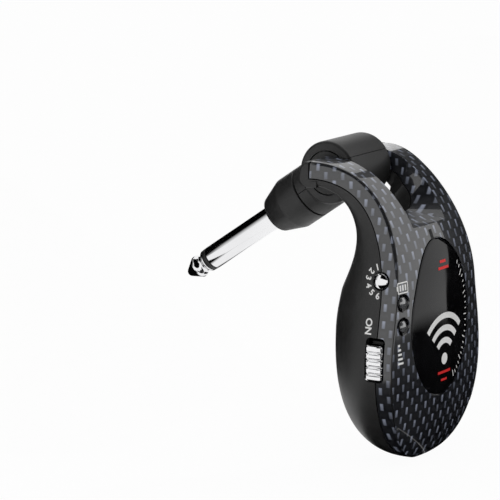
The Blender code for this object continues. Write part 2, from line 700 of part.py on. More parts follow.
def usb_socket(casing, mat):
    """The charging socket: a thin shell with an open mouth and a tongue, on the back of the board."""
    mouth = flank(USB_DROP) - USB_INSET
    low = Vector((mouth - USB_DEPTH, USB_Y - USB_THICKNESS / 2, -USB_DROP - USB_WIDTH / 2))
    high = Vector((mouth, USB_Y + USB_THICKNESS / 2, -USB_DROP + USB_WIDTH / 2))
    socket = part("usb_socket", box_mesh("usb_socket", low, high), mat, casing)
    wall = Vector((3 * USB_WALL, USB_WALL, USB_WALL))
    pocket = box_mesh("usb_pocket", low + wall, (high.x + GAP, high.y - USB_WALL, high.z - USB_WALL))
    cut(socket, cutter("usb_pocket", pocket, casing))
    tongue_low = (low.x + USB_WALL, USB_Y - USB_WALL, -USB_DROP - USB_WIDTH / 4)
    tongue_high = (mouth - USB_INSET, USB_Y + USB_WALL, -USB_DROP + USB_WIDTH / 4)
    cut(socket, cutter("usb_tongue", box_mesh("usb_tongue", tongue_low, tongue_high), casing), "UNION")


def board_outline():
    """Front outline of the board: a rectangle with cut corners, and a tab under the indicator lights."""
    half = BOARD_WIDTH / 2
    top = -BOARD_TOP_DROP
    bottom = -BOARD_BOTTOM_DROP
    tab = -LENS_SIDE - LED_SIZE / 2
    tab_top = -LENS_DROPS[0] + LED_SIZE
    tab_bottom = -LENS_DROPS[-1] - LED_SIZE
    right = [(half, bottom + BOARD_CORNER), (half, top - BOARD_CORNER), (half - BOARD_CORNER, top)]
    left = [(-half + BOARD_CORNER, top), (-half, top - BOARD_CORNER), (-half, tab_top), (tab, tab_top)]
    left += [(tab, tab_bottom), (-half, tab_bottom)]
    left += [(-half, bottom + BOARD_CORNER), (-half + BOARD_CORNER, bottom)]
    return right + left + [(half - BOARD_CORNER, bottom)]


def electronics(casing, board_mat, steel, cell_mat, ceramic):
    """The board on its four screws, with the cell, the radio module and its antenna on the back."""
    sheet = outline_mesh("main_board", board_outline(), BOARD_FRONT_Y, BOARD_BACK_Y, "Y")
    board = part("main_board", sheet, board_mat, casing)
    for name, x, z in screw_places():
        hole_radius = SCREW_DIAMETER / 2 + GAP
        ends = (BOARD_FRONT_Y - GAP, BOARD_BACK_Y + GAP)
        hole = rod_mesh(f"board_hole_{name}", hole_radius, *ends, "Y", (x, 0, z), steps=FINE_STEPS)
        cut(board, cutter(hole.name, hole, casing))
        head = BOARD_BACK_Y + GAP
        radius = SCREW_DIAMETER / 2
        wide = SCREW_HEAD_DIAMETER / 2
        top = head + SCREW_HEAD_HEIGHT
        profile = [(0, top), (wide, top), (wide, head), (radius, head)]
        profile += [(radius, SCREW_END_Y), (0, SCREW_END_Y)]
        turned(f"board_screw_{name}", profile, steel, casing, (x, 0, z), (-math.pi / 2, 0, 0), FINE_STEPS)
    seat = BOARD_BACK_Y + GAP
    cell_low = (-CELL_WIDTH / 2, seat, -CELL_TOP_DROP - CELL_HEIGHT)
    cell_high = (CELL_WIDTH / 2, seat + CELL_THICKNESS, -CELL_TOP_DROP)
    part("lithium_cell", box_mesh("lithium_cell", cell_low, cell_high, CELL_EDGE), cell_mat, casing)
    radio_low = (-RADIO_WIDTH / 2, seat, -RADIO_TOP_DROP - RADIO_HEIGHT)
    radio_high = (RADIO_WIDTH / 2, seat + RADIO_THICKNESS, -RADIO_TOP_DROP)
    part("radio_module", box_mesh("radio_module", radio_low, radio_high, GAP), steel, casing)
    antenna_top = -RADIO_TOP_DROP + GAP + ANTENNA_HEIGHT
    antenna_low = (-ANTENNA_WIDTH / 2, seat, antenna_top - ANTENNA_HEIGHT)
    antenna_high = (ANTENNA_WIDTH / 2, seat + ANTENNA_THICKNESS, antenna_top)
    part("chip_antenna", box_mesh("chip_antenna", antenna_low, antenna_high), ceramic, casing)


def hub_half(plug, name, side, mat):
    """One half of the hinge hub: half a barrel and half a neck, split in the plug's own plane."""
    neck_radius = COLLAR_DIAMETER / 2
    spigot_radius = neck_radius - COLLAR_WALL - GAP
    barrel = rod_mesh(name, HUB_RADIUS, -HUB_HALF, HUB_HALF, "X", edge=HUB_EDGE, steps=BARREL_STEPS)
    hub = part(name, barrel, mat, plug)
    neck = rod_mesh(f"{name}_neck", neck_radius, 0, COLLAR_BACK - GAP)
    spigot = rod_mesh(f"{name}_spigot", spigot_radius, 0, SPIGOT_END)
    for mesh in (neck, spigot):
        cut(hub, cutter(mesh.name, mesh, plug), "UNION")
    recess_radius = HUB_RADIUS - HUB_RIM
    hollows = [
        rod_mesh(f"{name}_cavity", HUB_RADIUS - HUB_WALL, -HUB_CAVITY_HALF, HUB_CAVITY_HALF, "X"),
        rod_mesh(f"{name}_bearing", PIN_RADIUS + GAP, -HUB_LENGTH, HUB_LENGTH, "X"),
        rod_mesh(f"{name}_recess_left", recess_radius, -HUB_LENGTH, -HUB_HALF + HUB_RECESS, "X"),
        rod_mesh(f"{name}_recess_right", recess_radius, HUB_HALF - HUB_RECESS, HUB_LENGTH, "X"),
        rod_mesh(f"{name}_bore", spigot_radius - SPIGOT_WALL, 0, SPIGOT_END + GAP),
    ]
    cheeks = sorted((-side * PARTING_GAP / 2, side * HUB_LENGTH))
    low = (-HUB_LENGTH, cheeks[0], -HUB_LENGTH)
    hollows.append(box_mesh(f"{name}_split", low, (HUB_LENGTH, cheeks[1], HUB_LENGTH)))
    for mesh in hollows:
        cut(hub, cutter(mesh.name, mesh, plug))


def plug_pieces(plug, collar_mat, chrome, insulator_mat):
    """Collar, sleeve, insulator and tip, all turned round the plug's axis."""
    collar_radius = COLLAR_DIAMETER / 2
    nose = COLLAR_NOSE_DIAMETER / 2
    pocket = collar_radius - COLLAR_WALL
    pocket_end = FLANGE_START + SLEEVE_FLANGE_THICKNESS + GAP
    bore = PLUG_RADIUS + GAP
    cone = [(collar_radius, SHOULDER_REACH - COLLAR_CONE_LENGTH), (collar_radius, COLLAR_BACK)]
    outer = [(nose - COLLAR_EDGE, SHOULDER_REACH), (nose, SHOULDER_REACH - COLLAR_EDGE)] + cone
    inner = [(pocket, COLLAR_BACK), (pocket, pocket_end), (bore, pocket_end), (bore, SHOULDER_REACH)]
    turned("plug_collar", outer + inner, collar_mat, plug)

    sleeve_end = INSULATOR_REACH - GAP
    flange = SLEEVE_FLANGE_DIAMETER / 2
    flange_top = FLANGE_START + SLEEVE_FLANGE_THICKNESS
    rod = ROD_DIAMETER / 2
    liner = rod + GAP
    liner_outer = liner + INSULATOR_WALL
    hole = liner_outer + GAP
    sleeve = [(PLUG_RADIUS - GAP, sleeve_end), (PLUG_RADIUS, sleeve_end - GAP), (PLUG_RADIUS, flange_top)]
    sleeve += [(flange, flange_top), (flange, FLANGE_START), (hole, FLANGE_START), (hole, sleeve_end)]
    turned("plug_sleeve", sleeve, chrome, plug)

    ring_top = INSULATOR_REACH + INSULATOR_WIDTH
    swell = PLUG_RADIUS - GAP / 2
    ring = [(swell, ring_top), (swell, INSULATOR_REACH), (liner_outer, INSULATOR_REACH)]
    ring += [(liner_outer, FLANGE_START), (liner, FLANGE_START), (liner, ring_top)]
    turned("plug_insulator", ring, insulator_mat, plug)

    base = ring_top + GAP
    span = TIP_REACH - base
    waist = TIP_WAIST_DIAMETER / 2
    turns = np.linspace(0, 1.0, 5)
    nose_top = TIP_REACH - TIP_NOSE_RADIUS
    nose_round = [(TIP_NOSE_RADIUS * math.sin(a), nose_top + TIP_NOSE_RADIUS * math.cos(a)) for a in turns]
    nose_round[0] = (0, TIP_REACH)
    ball = [(swell, base + 0.50 * span), (swell, base + 0.44 * span)]
    ball += [(waist, base + 0.24 * span), (waist, base + 0.18 * span)]
    foot = [(swell, base + 0.06 * span), (swell, base), (rod, base), (rod, ROD_START), (0, ROD_START)]
    turned("plug_tip", nose_round + ball + foot, chrome, plug)


def hinge_pieces(casing, plug, steel, nylon, copper):
    """Pins in the arms, friction washers in the hub's ends, and the leads from the plug to the board."""
    washer_radius = HUB_RADIUS - HUB_RIM - GAP
    hole = PIN_RADIUS + GAP
    low = HUB_HALF - HUB_RECESS + GAP
    washer = [(washer_radius, HUB_HALF), (washer_radius, low), (hole, low), (hole, HUB_HALF)]
    for name, side in SIDES:
        ends = sorted((side * HUB_CAVITY_HALF, side * PIN_OUTER))
        pin = rod_mesh(f"hinge_pin_{name}", PIN_RADIUS, *ends, "X", edge=GAP, steps=SMALL_STEPS)
        part(f"hinge_pin_{name}", pin, steel, casing)
        turned(f"friction_washer_{name}", washer, nylon, plug, rotation=(0, side * math.pi / 2, 0))
        route = [(side * lead_side(s), s, LEAD_LIFT) for s in np.linspace(PIN_RADIUS + GAP, CAVITY_START, 12)]
        lift = BOARD_FRONT_LIFT - BOARD_THICKNESS - GAP - LEAD_DIAMETER / 2
        end_x = side * (BOARD_WIDTH / 2 - LEAD_END_INSET)
        route.append((end_x, drop_to_arc(BOARD_TOP_DROP + LEAD_DIAMETER * 0.8), lift))
        tube(f"casing_lead_{name}", [on_spine(*spot) for spot in route], LEAD_DIAMETER, copper, casing)
    inner = HUB_CAVITY_HALF - 3 * GAP
    rod_end = ROD_START - GAP
    signal = [(inner, 0, 0), (inner / 2, 0, LEAD_DIAMETER), (LEAD_DIAMETER, 0, inner)]
    signal += [(0, 0, rod_end - LEAD_DIAMETER), (0, 0, rod_end)]
    tube("hub_lead_signal", signal, LEAD_DIAMETER, copper, plug)
    side = -(ROD_DIAMETER + LEAD_DIAMETER)
    ground = [(-inner, 0, 0), (1.2 * side, 0, LEAD_DIAMETER), (side, 0, inner)]
    ground.append((side, 0, FLANGE_START - GAP))
    tube("hub_lead_ground", ground, LEAD_DIAMETER, copper, plug)


def build():
    carbon = finish("carbon_weave", (0.02, 0.022, 0.026), 0.2)
    matte = finish("matte_black_plastic", (0.03, 0.03, 0.03), 0.55)
    gloss = finish("gloss_black_plate", (0.008, 0.008, 0.009), 0.1)
    chrome = finish("chrome", (0.86, 0.86, 0.87), 0.08, 1.0)
    steel = finish("steel", (0.6, 0.6, 0.6), 0.3, 1.0)
    nylon = finish("black_nylon", (0.01, 0.01, 0.01), 0.4)
    lens = finish("clear_lens", (0.75, 0.78, 0.8), 0.1)
    light = finish("light_emitter", (0.9, 0.85, 0.5), 0.4)
    green = finish("board_green", (0.02, 0.16, 0.07), 0.5)
    foil = finish("cell_foil", (0.55, 0.56, 0.58), 0.35, 0.6)
    ceramic = finish("ceramic", (0.8, 0.8, 0.76), 0.5)
    copper = finish("lead_insulation", (0.5, 0.05, 0.04), 0.5)

    casing = pivot("casing_hinge", HINGE)
    plug = pivot("plug_axis", HINGE, (-math.radians(90 + PLUG_REST_ANGLE), 0, 0))
    casing_shells(casing, carbon, matte)
    plate = oval_patch("oval_plate", PLATE_WIDTH, PLATE_HEIGHT, -PLATE_THICKNESS, PLATE_PROUD)
    part("oval_plate", plate, gloss, casing)
    for name, drop in zip(("battery", "audio"), LENS_DROPS):
        indicator(casing, name, drop, lens, light)
    channel_button(casing, chrome)
    tact_switch(casing, nylon)
    power_switch(casing, chrome, nylon)
    usb_socket(casing, steel)
    electronics(casing, green, steel, foil, ceramic)
    hub_half(plug, "hub_upper_half", -1, matte)
    hub_half(plug, "hub_lower_half", 1, matte)
    plug_pieces(plug, matte, chrome, nylon)
    hinge_pieces(casing, plug, steel, nylon, copper)


clear_scene()
PARTS = new_collection("wireless_guitar_transmitter")
CUTTERS = new_collection("cutters")
build()
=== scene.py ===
import json
import math

import bmesh
import bpy
import numpy as np
from mathutils import Matrix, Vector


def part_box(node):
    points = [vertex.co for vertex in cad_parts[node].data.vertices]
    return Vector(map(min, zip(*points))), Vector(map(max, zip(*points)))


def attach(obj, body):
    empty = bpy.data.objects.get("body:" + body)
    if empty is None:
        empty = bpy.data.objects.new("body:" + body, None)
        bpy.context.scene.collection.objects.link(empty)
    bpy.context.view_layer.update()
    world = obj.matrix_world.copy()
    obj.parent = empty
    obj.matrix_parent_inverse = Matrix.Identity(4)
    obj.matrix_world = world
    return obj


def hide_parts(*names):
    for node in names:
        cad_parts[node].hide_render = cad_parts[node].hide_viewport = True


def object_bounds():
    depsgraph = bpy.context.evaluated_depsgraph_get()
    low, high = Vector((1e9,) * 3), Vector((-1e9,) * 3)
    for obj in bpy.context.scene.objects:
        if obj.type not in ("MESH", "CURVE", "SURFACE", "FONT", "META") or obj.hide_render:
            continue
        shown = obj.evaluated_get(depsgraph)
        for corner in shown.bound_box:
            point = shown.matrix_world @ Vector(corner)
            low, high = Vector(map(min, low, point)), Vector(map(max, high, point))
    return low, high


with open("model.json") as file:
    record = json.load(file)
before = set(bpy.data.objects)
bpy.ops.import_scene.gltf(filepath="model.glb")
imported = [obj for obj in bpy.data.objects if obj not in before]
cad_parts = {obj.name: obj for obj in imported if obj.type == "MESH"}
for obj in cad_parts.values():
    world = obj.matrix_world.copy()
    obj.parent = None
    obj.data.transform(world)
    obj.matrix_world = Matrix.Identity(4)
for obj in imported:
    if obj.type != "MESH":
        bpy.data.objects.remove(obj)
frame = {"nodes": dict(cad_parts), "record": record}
cad_low, cad_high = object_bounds()
print("nodes:", len(frame["nodes"]), "box in mm:", [round(v * 1000, 1) for v in cad_high - cad_low])

# %% [markdown]
# The transmitter is a hook-shaped casing that hangs on a hinge hub, and the hub carries a jack plug. The same
# named sizes as in the solid model are repeated here, so that every fine surface lies on its coarse one. All
# lengths are in metres and are measured from the hinge axis: x across, y towards the plug, z up.

# %% Sizes
MM = 0.001
GAP = 0.3 * MM
HALF_GAP = GAP / 2
PLUG_ANGLE = math.radians(34)
SHOULDER_REACH = 25.0 * MM
HINGE = np.array([0, -math.cos(PLUG_ANGLE), math.sin(PLUG_ANGLE)]) * SHOULDER_REACH
SPINE_RUN, BEND_REACH, BEND_DROP = 1.7 * MM, 20.9 * MM, 28.5 * MM
CASE_DROP, BELLY_DROP, DEEP_DROP = 72.1 * MM, 46.3 * MM, 38.5 * MM
ARM_SPAN, WAIST_WIDTH, NECK_WIDTH, BELLY_WIDTH = 38.8 * MM, 33.0 * MM, 41.2 * MM, 46.4 * MM
FRONT_HEIGHT, FRONT_CROWN, ARM_CROWN = 4.2 * MM, 1.7 * MM, 0.4 * MM
FRONT_EDGE, SIDE_DRAFT = 0.9 * MM, 0.4 * MM
ARM_DEPTH, THROAT_DEPTH, NECK_DEPTH, BELLY_DEPTH = 2.4 * MM, 7.5 * MM, 18.4 * MM, 20.2 * MM
ARM_FULLNESS, REAR_FULLNESS, BOTTOM_FULLNESS = 5.0, 2.5, 2.25
WALL = 1.8 * MM
BEND_LENGTH = math.pi / 2 * math.hypot(BEND_REACH, BEND_DROP) / math.sqrt(2)
ARC_END = SPINE_RUN + BEND_LENGTH
FACE_BACK = SPINE_RUN + BEND_REACH
SPINE_END = ARC_END + CASE_DROP - BEND_DROP
BELLY = ARC_END + BELLY_DROP - BEND_DROP
DEEP = ARC_END + DEEP_DROP - BEND_DROP
print("spine length in mm:", round(SPINE_END / MM, 1))

# %% [markdown]
# The camera stands where the photograph was taken from: far off, 60 degrees round to the control flank and
# 11.5 degrees above. It is turned a little aside, so that the object falls right of the middle, as it does in
# the picture. A lamp is aimed in the same way, so one helper serves both.

# %% Camera
AZIMUTH, ELEVATION, ROLL = math.radians(-59.96), math.radians(11.52), math.radians(0.45)
DISTANCE, FOCAL_PIXELS, PIXELS, SENSOR = 781.9 * MM, 3065.0, 500, 36
PIVOT, PIVOT_PIXEL = HINGE + np.array([0, -13, -30]) * MM, (389.1, 288.6)


def placed(name, data):
    """A new object at the origin, linked to the scene."""
    obj = bpy.data.objects.new(name, data)
    bpy.context.scene.collection.objects.link(obj)
    return obj


def stand(obj, place, back, above):
    """Stands a camera or a lamp at a place: its z axis points back, its x axis is square to z and above."""
    z = back / np.linalg.norm(back)
    x = np.cross(above, z)
    x /= np.linalg.norm(x)
    axes = np.eye(4)
    axes[:3] = np.stack([x, np.cross(z, x), z, place], 1)
    obj.matrix_world = Matrix(axes.tolist())


level = math.cos(ELEVATION)
back = np.array([math.sin(AZIMUTH) * level, -math.cos(AZIMUTH) * level, math.sin(ELEVATION)])
right = np.array([math.cos(AZIMUTH), math.sin(AZIMUTH), 0])
above = np.cross(back, right)
rolled_right = right * math.cos(ROLL) + above * math.sin(ROLL)
rolled_above = above * math.cos(ROLL) - right * math.sin(ROLL)
aside, up = (PIXELS / 2 - PIVOT_PIXEL[0]) / FOCAL_PIXELS, (PIVOT_PIXEL[1] - PIXELS / 2) / FOCAL_PIXELS
aim = -back + rolled_right * aside + rolled_above * up
camera_data = bpy.data.cameras.new("camera")
camera_data.sensor_width = SENSOR
camera_data.lens = SENSOR * FOCAL_PIXELS / PIXELS
camera = placed("camera", camera_data)
stand(camera, PIVOT + back * DISTANCE, -aim, rolled_above)
bpy.context.scene.camera = camera
bpy.context.scene.view_settings.view_transform = "Standard"
print("lens in mm:", round(camera_data.lens, 1))

# %% [markdown]
# A surface is a grid of points, and a mesh is that grid with quads between neighbours. A loft closes the grid
# round and caps its two ends with strips from side to side. The helpers below do this for whole arrays at
# once, which is quicker and easier to read than building a mesh point by point.

# %% Grid helpers
SHARP_ANGLE = math.radians(30)


def grid_quads(rows, columns, closed=True):
    """Corner numbers of the quads between neighbours of a grid, wrapped round its columns when closed."""
    r = np.arange(rows - 1)[:, None] * columns
    c = np.arange(columns if closed else columns - 1)[None, :]
    beside = (c + 1) % columns
    quads = np.stack([r + c, r + beside, r + columns + beside, r + columns + c], -1)
    return quads.reshape(-1, 4).tolist()


def cap_quads(start, columns):
    """Strips across one closed ring: each joins a pair of neighbours to the pair opposite."""
    k = np.arange(columns // 2 - 1)
    return (start + np.stack([k, k + 1, columns - 2 - k, columns - 1 - k], -1)).tolist()


def piece(name, points, quads, mat):
    """A mesh object at the origin from points and quads: doubles merged, faces outward, shaded smooth."""
    bm = bmesh.new()
    mesh = bpy.data.meshes.new(name)
    mesh.from_pydata(np.asarray(points).reshape(-1, 3).tolist(), [], quads)
    bm.from_mesh(mesh)
    bmesh.ops.remove_doubles(bm, verts=bm.verts, dist=1e-6)
    bmesh.ops.dissolve_degenerate(bm, edges=bm.edges, dist=1e-7)
    bmesh.ops.recalc_face_normals(bm, faces=bm.faces)
    bm.to_mesh(mesh)
    bm.free()
    mesh.shade_smooth()
    mesh.set_sharp_from_angle(angle=SHARP_ANGLE)
    if mat:
        mesh.materials.append(mat)
    return placed(name, mesh)


def sheet(name, points, mat):
    """An open skin from a grid of points."""
    return piece(name, points, grid_quads(*points.shape[:2], closed=False), mat)


def loft(name, rings, mat=None, flat_ends=False):
    """A closed solid through equal closed rings, an array of rings by points by 3; a flat end is one face."""
    rows, columns = rings.shape[:2]
    last = (rows - 1) * columns
    if flat_ends:
        ends = [list(range(columns)), list(range(last, last + columns))]
    else:
        ends = cap_quads(0, columns) + cap_quads(last, columns)
    return piece(name, rings, grid_quads(rows, columns) + ends, mat)


print("edges stay sharp over", round(math.degrees(SHARP_ANGLE)), "degrees")

# %% [markdown]
# Openings are cut with booleans, which Blender works out as a modifier; the helper keeps the finished mesh and
# throws the cutters away. Every piece is then dressed: it rides on a body of the frame, so that it moves with
# its joint, and the solids that it stands for are hidden.

# %% Carving and dressing
def carve(obj, tools, operation="DIFFERENCE"):
    """Cuts tools out of a piece, or joins them to it, keeps the result as its mesh and removes the tools."""
    for tool in tools:
        step = obj.modifiers.new(tool.name, "BOOLEAN")
        step.operation = operation
        step.solver = "MANIFOLD"
        step.object = tool
    made = bpy.data.meshes.new_from_object(obj.evaluated_get(bpy.context.evaluated_depsgraph_get()))
    obj.modifiers.clear()
    obj.data = made
    made.materials.clear()
    made.shade_smooth()
    made.set_sharp_from_angle(angle=SHARP_ANGLE)
    for tool in tools:
        bpy.data.objects.remove(tool)


def read(items, label, width=1, kind=np.float64):
    """One property of all vertices, corners or faces of a mesh, as an array of rows."""
    values = np.empty(len(items) * width, kind)
    items.foreach_get(label, values)
    return values.reshape(-1, width)


def dress(obj, body, slot, *nodes):
    """The piece rides on a body and stands for CAD nodes, which it hides; the slot argument is not used."""
    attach(obj, body)
    if nodes:
        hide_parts(*nodes)
    print(obj.name, len(obj.data.polygons), "faces on", body)


# %% [markdown]
# The casing follows one bent centre line, the spine: out from the hinge, round a quarter of an ellipse and
# straight down. Its width, front height and rear depth are smooth curves along that line, and both shells use
# them, so they meet on one parting line. A place on the spine, a distance across and a lift off the parting
# line then give any point of the casing.

# %% Casing curves
def eased(stations, s):
    """A smooth curve through (place, value) stations: cubic pieces with central slopes, flat at both ends."""
    places, values = np.array(stations, float).T
    slopes = np.gradient(values, places)
    slopes[[0, -1]] = 0
    i = np.clip(np.searchsorted(places, s) - 1, 0, len(places) - 2)
    step = places[i + 1] - places[i]
    t = np.clip((s - places[i]) / step, 0, 1)
    start = values[i] * (1 + 2 * t) * (1 - t) ** 2 + slopes[i] * step * t * (1 - t) ** 2
    return start + values[i + 1] * (3 - 2 * t) * t**2 - slopes[i + 1] * step * t**2 * (1 - t)


def closing(s, start=BELLY):
    """How full the casing still is towards its round bottom: 1 down to a start, then a rounded fall to 0."""
    t = np.clip((s - start) / (SPINE_END - start), 0, 1)
    return (1 - t**BOTTOM_FULLNESS) ** (1 / BOTTOM_FULLNESS)


def half_width(s):
    """Half the casing's width along the spine."""
    waist = SPINE_RUN + BEND_LENGTH / 3
    stations = [(0, ARM_SPAN), (waist, WAIST_WIDTH), (ARC_END, NECK_WIDTH), (BELLY, BELLY_WIDTH)]
    return eased(stations, s) / 2 * closing(s)


def rear_depth(s):
    """Depth of the rear shell behind the parting line."""
    throat = SPINE_RUN + BEND_LENGTH / 2
    stations = [(0, ARM_DEPTH), (throat, THROAT_DEPTH), (ARC_END, NECK_DEPTH), (DEEP, BELLY_DEPTH)]
    return eased(stations, s) * closing(s, DEEP)


def front_height(x, s):
    """Height of the front face over the parting line: an edge height plus a crown, highest in the middle."""
    crown = eased([(SPINE_RUN, ARM_CROWN), (ARC_END, FRONT_CROWN), (SPINE_END, FRONT_CROWN)], s)
    return (FRONT_HEIGHT + crown * (1 - (x / half_width(s)) ** 2)) * closing(s)


def rear_power(s):
    """Fullness of the rear section: boxy at the arms, a full oval at the belly."""
    return eased([(0, ARM_FULLNESS), (ARC_END, REAR_FULLNESS), (SPINE_END, REAR_FULLNESS)], s)


print("widest place in mm:", round(2 * float(half_width(BELLY)) / MM, 1))

# %% [markdown]
# A point of the casing is found in two steps: first the place on the spine, then a step square to it by the
# lift. The two shells are rows of such points. A row of the front shell is a box with rounded front corners
# and a crowned face, and a row of the rear shell is half a superellipse, which can be boxy or round.

# %% Points beside the spine
CROWDING = 1.35


def on_spine(x, s, lift):
    """Points beside the spine: arrays of x, place and lift give an array of points."""
    x, s, lift = np.broadcast_arrays(x, s, lift)
    bend = np.clip((s - SPINE_RUN) / BEND_LENGTH, 0, 1) * math.pi / 2
    out_y, out_z = BEND_DROP * np.sin(bend), BEND_REACH * np.cos(bend)
    scale = lift / np.hypot(out_y, out_z)
    y = -np.minimum(s, SPINE_RUN) - BEND_REACH * np.sin(bend) - scale * out_y
    z = scale * out_z - BEND_DROP * (1 - np.cos(bend)) - np.maximum(s - ARC_END, 0)
    return np.stack([x, y, z], -1) + HINGE


def drop_to_arc(drop):
    """The place on the spine this far below the hinge: the ellipse solved for its angle, then straight."""
    bend = np.arccos(np.clip(1 - np.asarray(drop) / BEND_DROP, 0, 1)) / (math.pi / 2)
    return SPINE_RUN + BEND_LENGTH * bend + np.maximum(drop - BEND_DROP, 0)


def spine_places(start, end, steps):
    """Places along the spine, a little closer together towards the round bottom."""
    return start + (end - start) * (1 - (1 - np.linspace(0, 1, steps)) ** CROWDING)


print("place of the belly in mm:", round(float(drop_to_arc(BELLY_DROP)) / MM, 1))


# %% Shell sections
EDGE_SHARE, FLAT_SHARE = 0.4, 0.2


def front_edge(s):
    """Radius of the rounded front edge, and half the width of the face between the two edges."""
    wide = half_width(s)
    edge = np.minimum(FRONT_EDGE, EDGE_SHARE * wide) * closing(s)
    return edge, np.maximum(wide - SIDE_DRAFT * closing(s) - edge, FLAT_SHARE * wide)


def front_section(s):
    """Half section of the front shell: drafted side wall, rounded edge, crowned face, and back."""
    s = s[:, None]
    wide = half_width(s)
    edge, flat = front_edge(s)
    angle = np.linspace(0, math.pi / 2, 10)[None, :]
    round_x = -flat - edge * np.cos(angle)
    round_lift = front_height(flat, s) - edge * (1 - np.sin(angle))
    face_x = flat * np.linspace(-1, 1, 62)[None, 1:-1]
    x = np.concatenate([-wide, round_x, face_x, -round_x[:, ::-1], wide], 1)
    base = np.full_like(wide, HALF_GAP)
    lift = np.concatenate([base, round_lift, front_height(face_x, s), round_lift[:, ::-1], base], 1)
    return on_spine(x, s, lift)


def rear_section(s, base=-HALF_GAP, inset=0.0):
    """Half section of the rear shell: a superellipse from flank to flank below the parting line."""
    s = s[:, None]
    wide = half_width(s) - inset
    deep = np.maximum(rear_depth(s) - inset, FLAT_SHARE * rear_depth(s))
    angle = np.linspace(0, math.pi, 82)[None, :]
    power = 2 / rear_power(s)
    x = wide * np.sign(np.cos(angle)) * np.abs(np.cos(angle)) ** power
    return on_spine(x, s, base - (deep + base) * np.abs(np.sin(angle)) ** power)


print("points in a row:", front_section(np.array([BELLY])).shape[1], rear_section(np.array([BELLY])).shape[1])

# %% [markdown]
# Round pieces are profiles turned about an axis, as on a lathe, and straight openings are outlines carried
# along x. Both are grids too, so they use the same helpers as the shells.

# %% Turned pieces and slabs
def revolved(name, profile, axis_start, axis, mat=None, steps=72, closed=False):
    """A profile of (radius, height) rows turned round an axis; a closed profile makes a ring."""
    axis = np.asarray(axis, float)
    beside = np.cross(axis, [1, 0, 0]) if abs(axis[0]) < 0.9 else np.array([0, 1.0, 0])
    angle = np.linspace(0, 2 * math.pi, steps, endpoint=False)[None, :, None]
    round_axis = np.cos(angle) * beside + np.sin(angle) * np.cross(axis, beside)
    rows = np.asarray(profile + profile[:1] if closed else profile, float)[:, None, :]
    points = axis_start + rows[..., 1:] * axis + rows[..., :1] * round_axis
    return piece(name, points, grid_quads(len(rows), steps), mat)


def slab(name, outline, low, high):
    """An outline in y and z carried along x from low to high."""
    outline = np.asarray(outline)
    rings = np.stack([np.concatenate([np.full((len(outline), 1), x), outline], 1) for x in (low, high)])
    return loft(name, rings + HINGE, flat_ends=True)


# %% [markdown]
# Finishes come next. Most are one plain plastic or metal whose colour, gloss and surface vary a little. An
# image could show that, but a procedural pattern has no seams and needs no file, so a single node group gives
# a fine grain to all of them.

# %% Node helpers
def node_group(name, inputs, outputs):
    """An empty shader node group with named inputs and outputs, and its two end nodes."""
    tree = bpy.data.node_groups.new(name, "ShaderNodeTree")
    for side, sockets in (("INPUT", inputs), ("OUTPUT", outputs)):
        for label, kind in sockets:
            tree.interface.new_socket(label, in_out=side, socket_type=kind)
    return tree, tree.nodes.new("NodeGroupInput"), tree.nodes.new("NodeGroupOutput")


def feed(tree, socket, value):
    """Puts a link or a plain value on an input."""
    if isinstance(value, bpy.types.NodeSocket):
        tree.links.new(value, socket)
    else:
        socket.default_value = value


def maths(tree, operation, *values):
    """One Math node fed with links or plain values; gives its result."""
    node = tree.nodes.new("ShaderNodeMath")
    node.operation = operation
    for socket, value in zip(node.inputs, values):
        feed(tree, socket, value)
    return node.outputs[0]


def ramp(tree, value, low, high, to_low=0.0, to_high=1.0):
    """A smooth step of a value from one range to another."""
    node = tree.nodes.new("ShaderNodeMapRange")
    node.interpolation_type = "SMOOTHSTEP"
    ends = {"From Min": low, "From Max": high, "To Min": to_low, "To Max": to_high}
    for label, number in ends.items():
        feed(tree, node.inputs[label], number)
    tree.links.new(value, node.inputs["Value"])
    return node.outputs["Result"]


def blend_colours(tree, mask, dark, light):
    """A colour between two, by a mask."""
    node = tree.nodes.new("ShaderNodeMix")
    node.data_type = "RGBA"
    tree.links.new(mask, node.inputs["Factor"])
    for socket, colour in ((node.inputs[6], dark), (node.inputs[7], light)):
        feed(tree, socket, colour if isinstance(colour, bpy.types.NodeSocket) else (*colour, 1))
    return node.outputs[2]


def use_group(tree, group, vector):
    """Places a node group in a material and feeds its vector."""
    node = tree.nodes.new("ShaderNodeGroup")
    node.node_tree = group
    tree.links.new(vector, node.inputs["Vector"])
    return node


# %% Fine grain group
FLOAT, VECTOR = "NodeSocketFloat", "NodeSocketVector"
grain, grain_in, grain_out = node_group(
    "fine_grain",
    [("Vector", VECTOR), ("Scale", FLOAT), ("Cloud Scale", FLOAT)],
    [("Height", FLOAT), ("Cloud", FLOAT)],
)
for label, scale, detail in (("Height", "Scale", 2.0), ("Cloud", "Cloud Scale", 3.0)):
    noise = grain.nodes.new("ShaderNodeTexNoise")
    noise.inputs["Detail"].default_value = detail
    grain.links.new(grain_in.outputs["Vector"], noise.inputs["Vector"])
    grain.links.new(grain_in.outputs[scale], noise.inputs["Scale"])
    grain.links.new(ramp(grain, noise.outputs["Fac"], 0.3, 0.7), grain_out.inputs[label])
print("group:", grain.name, "with", len(grain.nodes), "nodes")

# %% Finish from the grain
CLOUD_SCALE, RELIEF, LEAST_ROUGHNESS = 120.0, 0.05 * MM, 0.02
FINISHES = {}


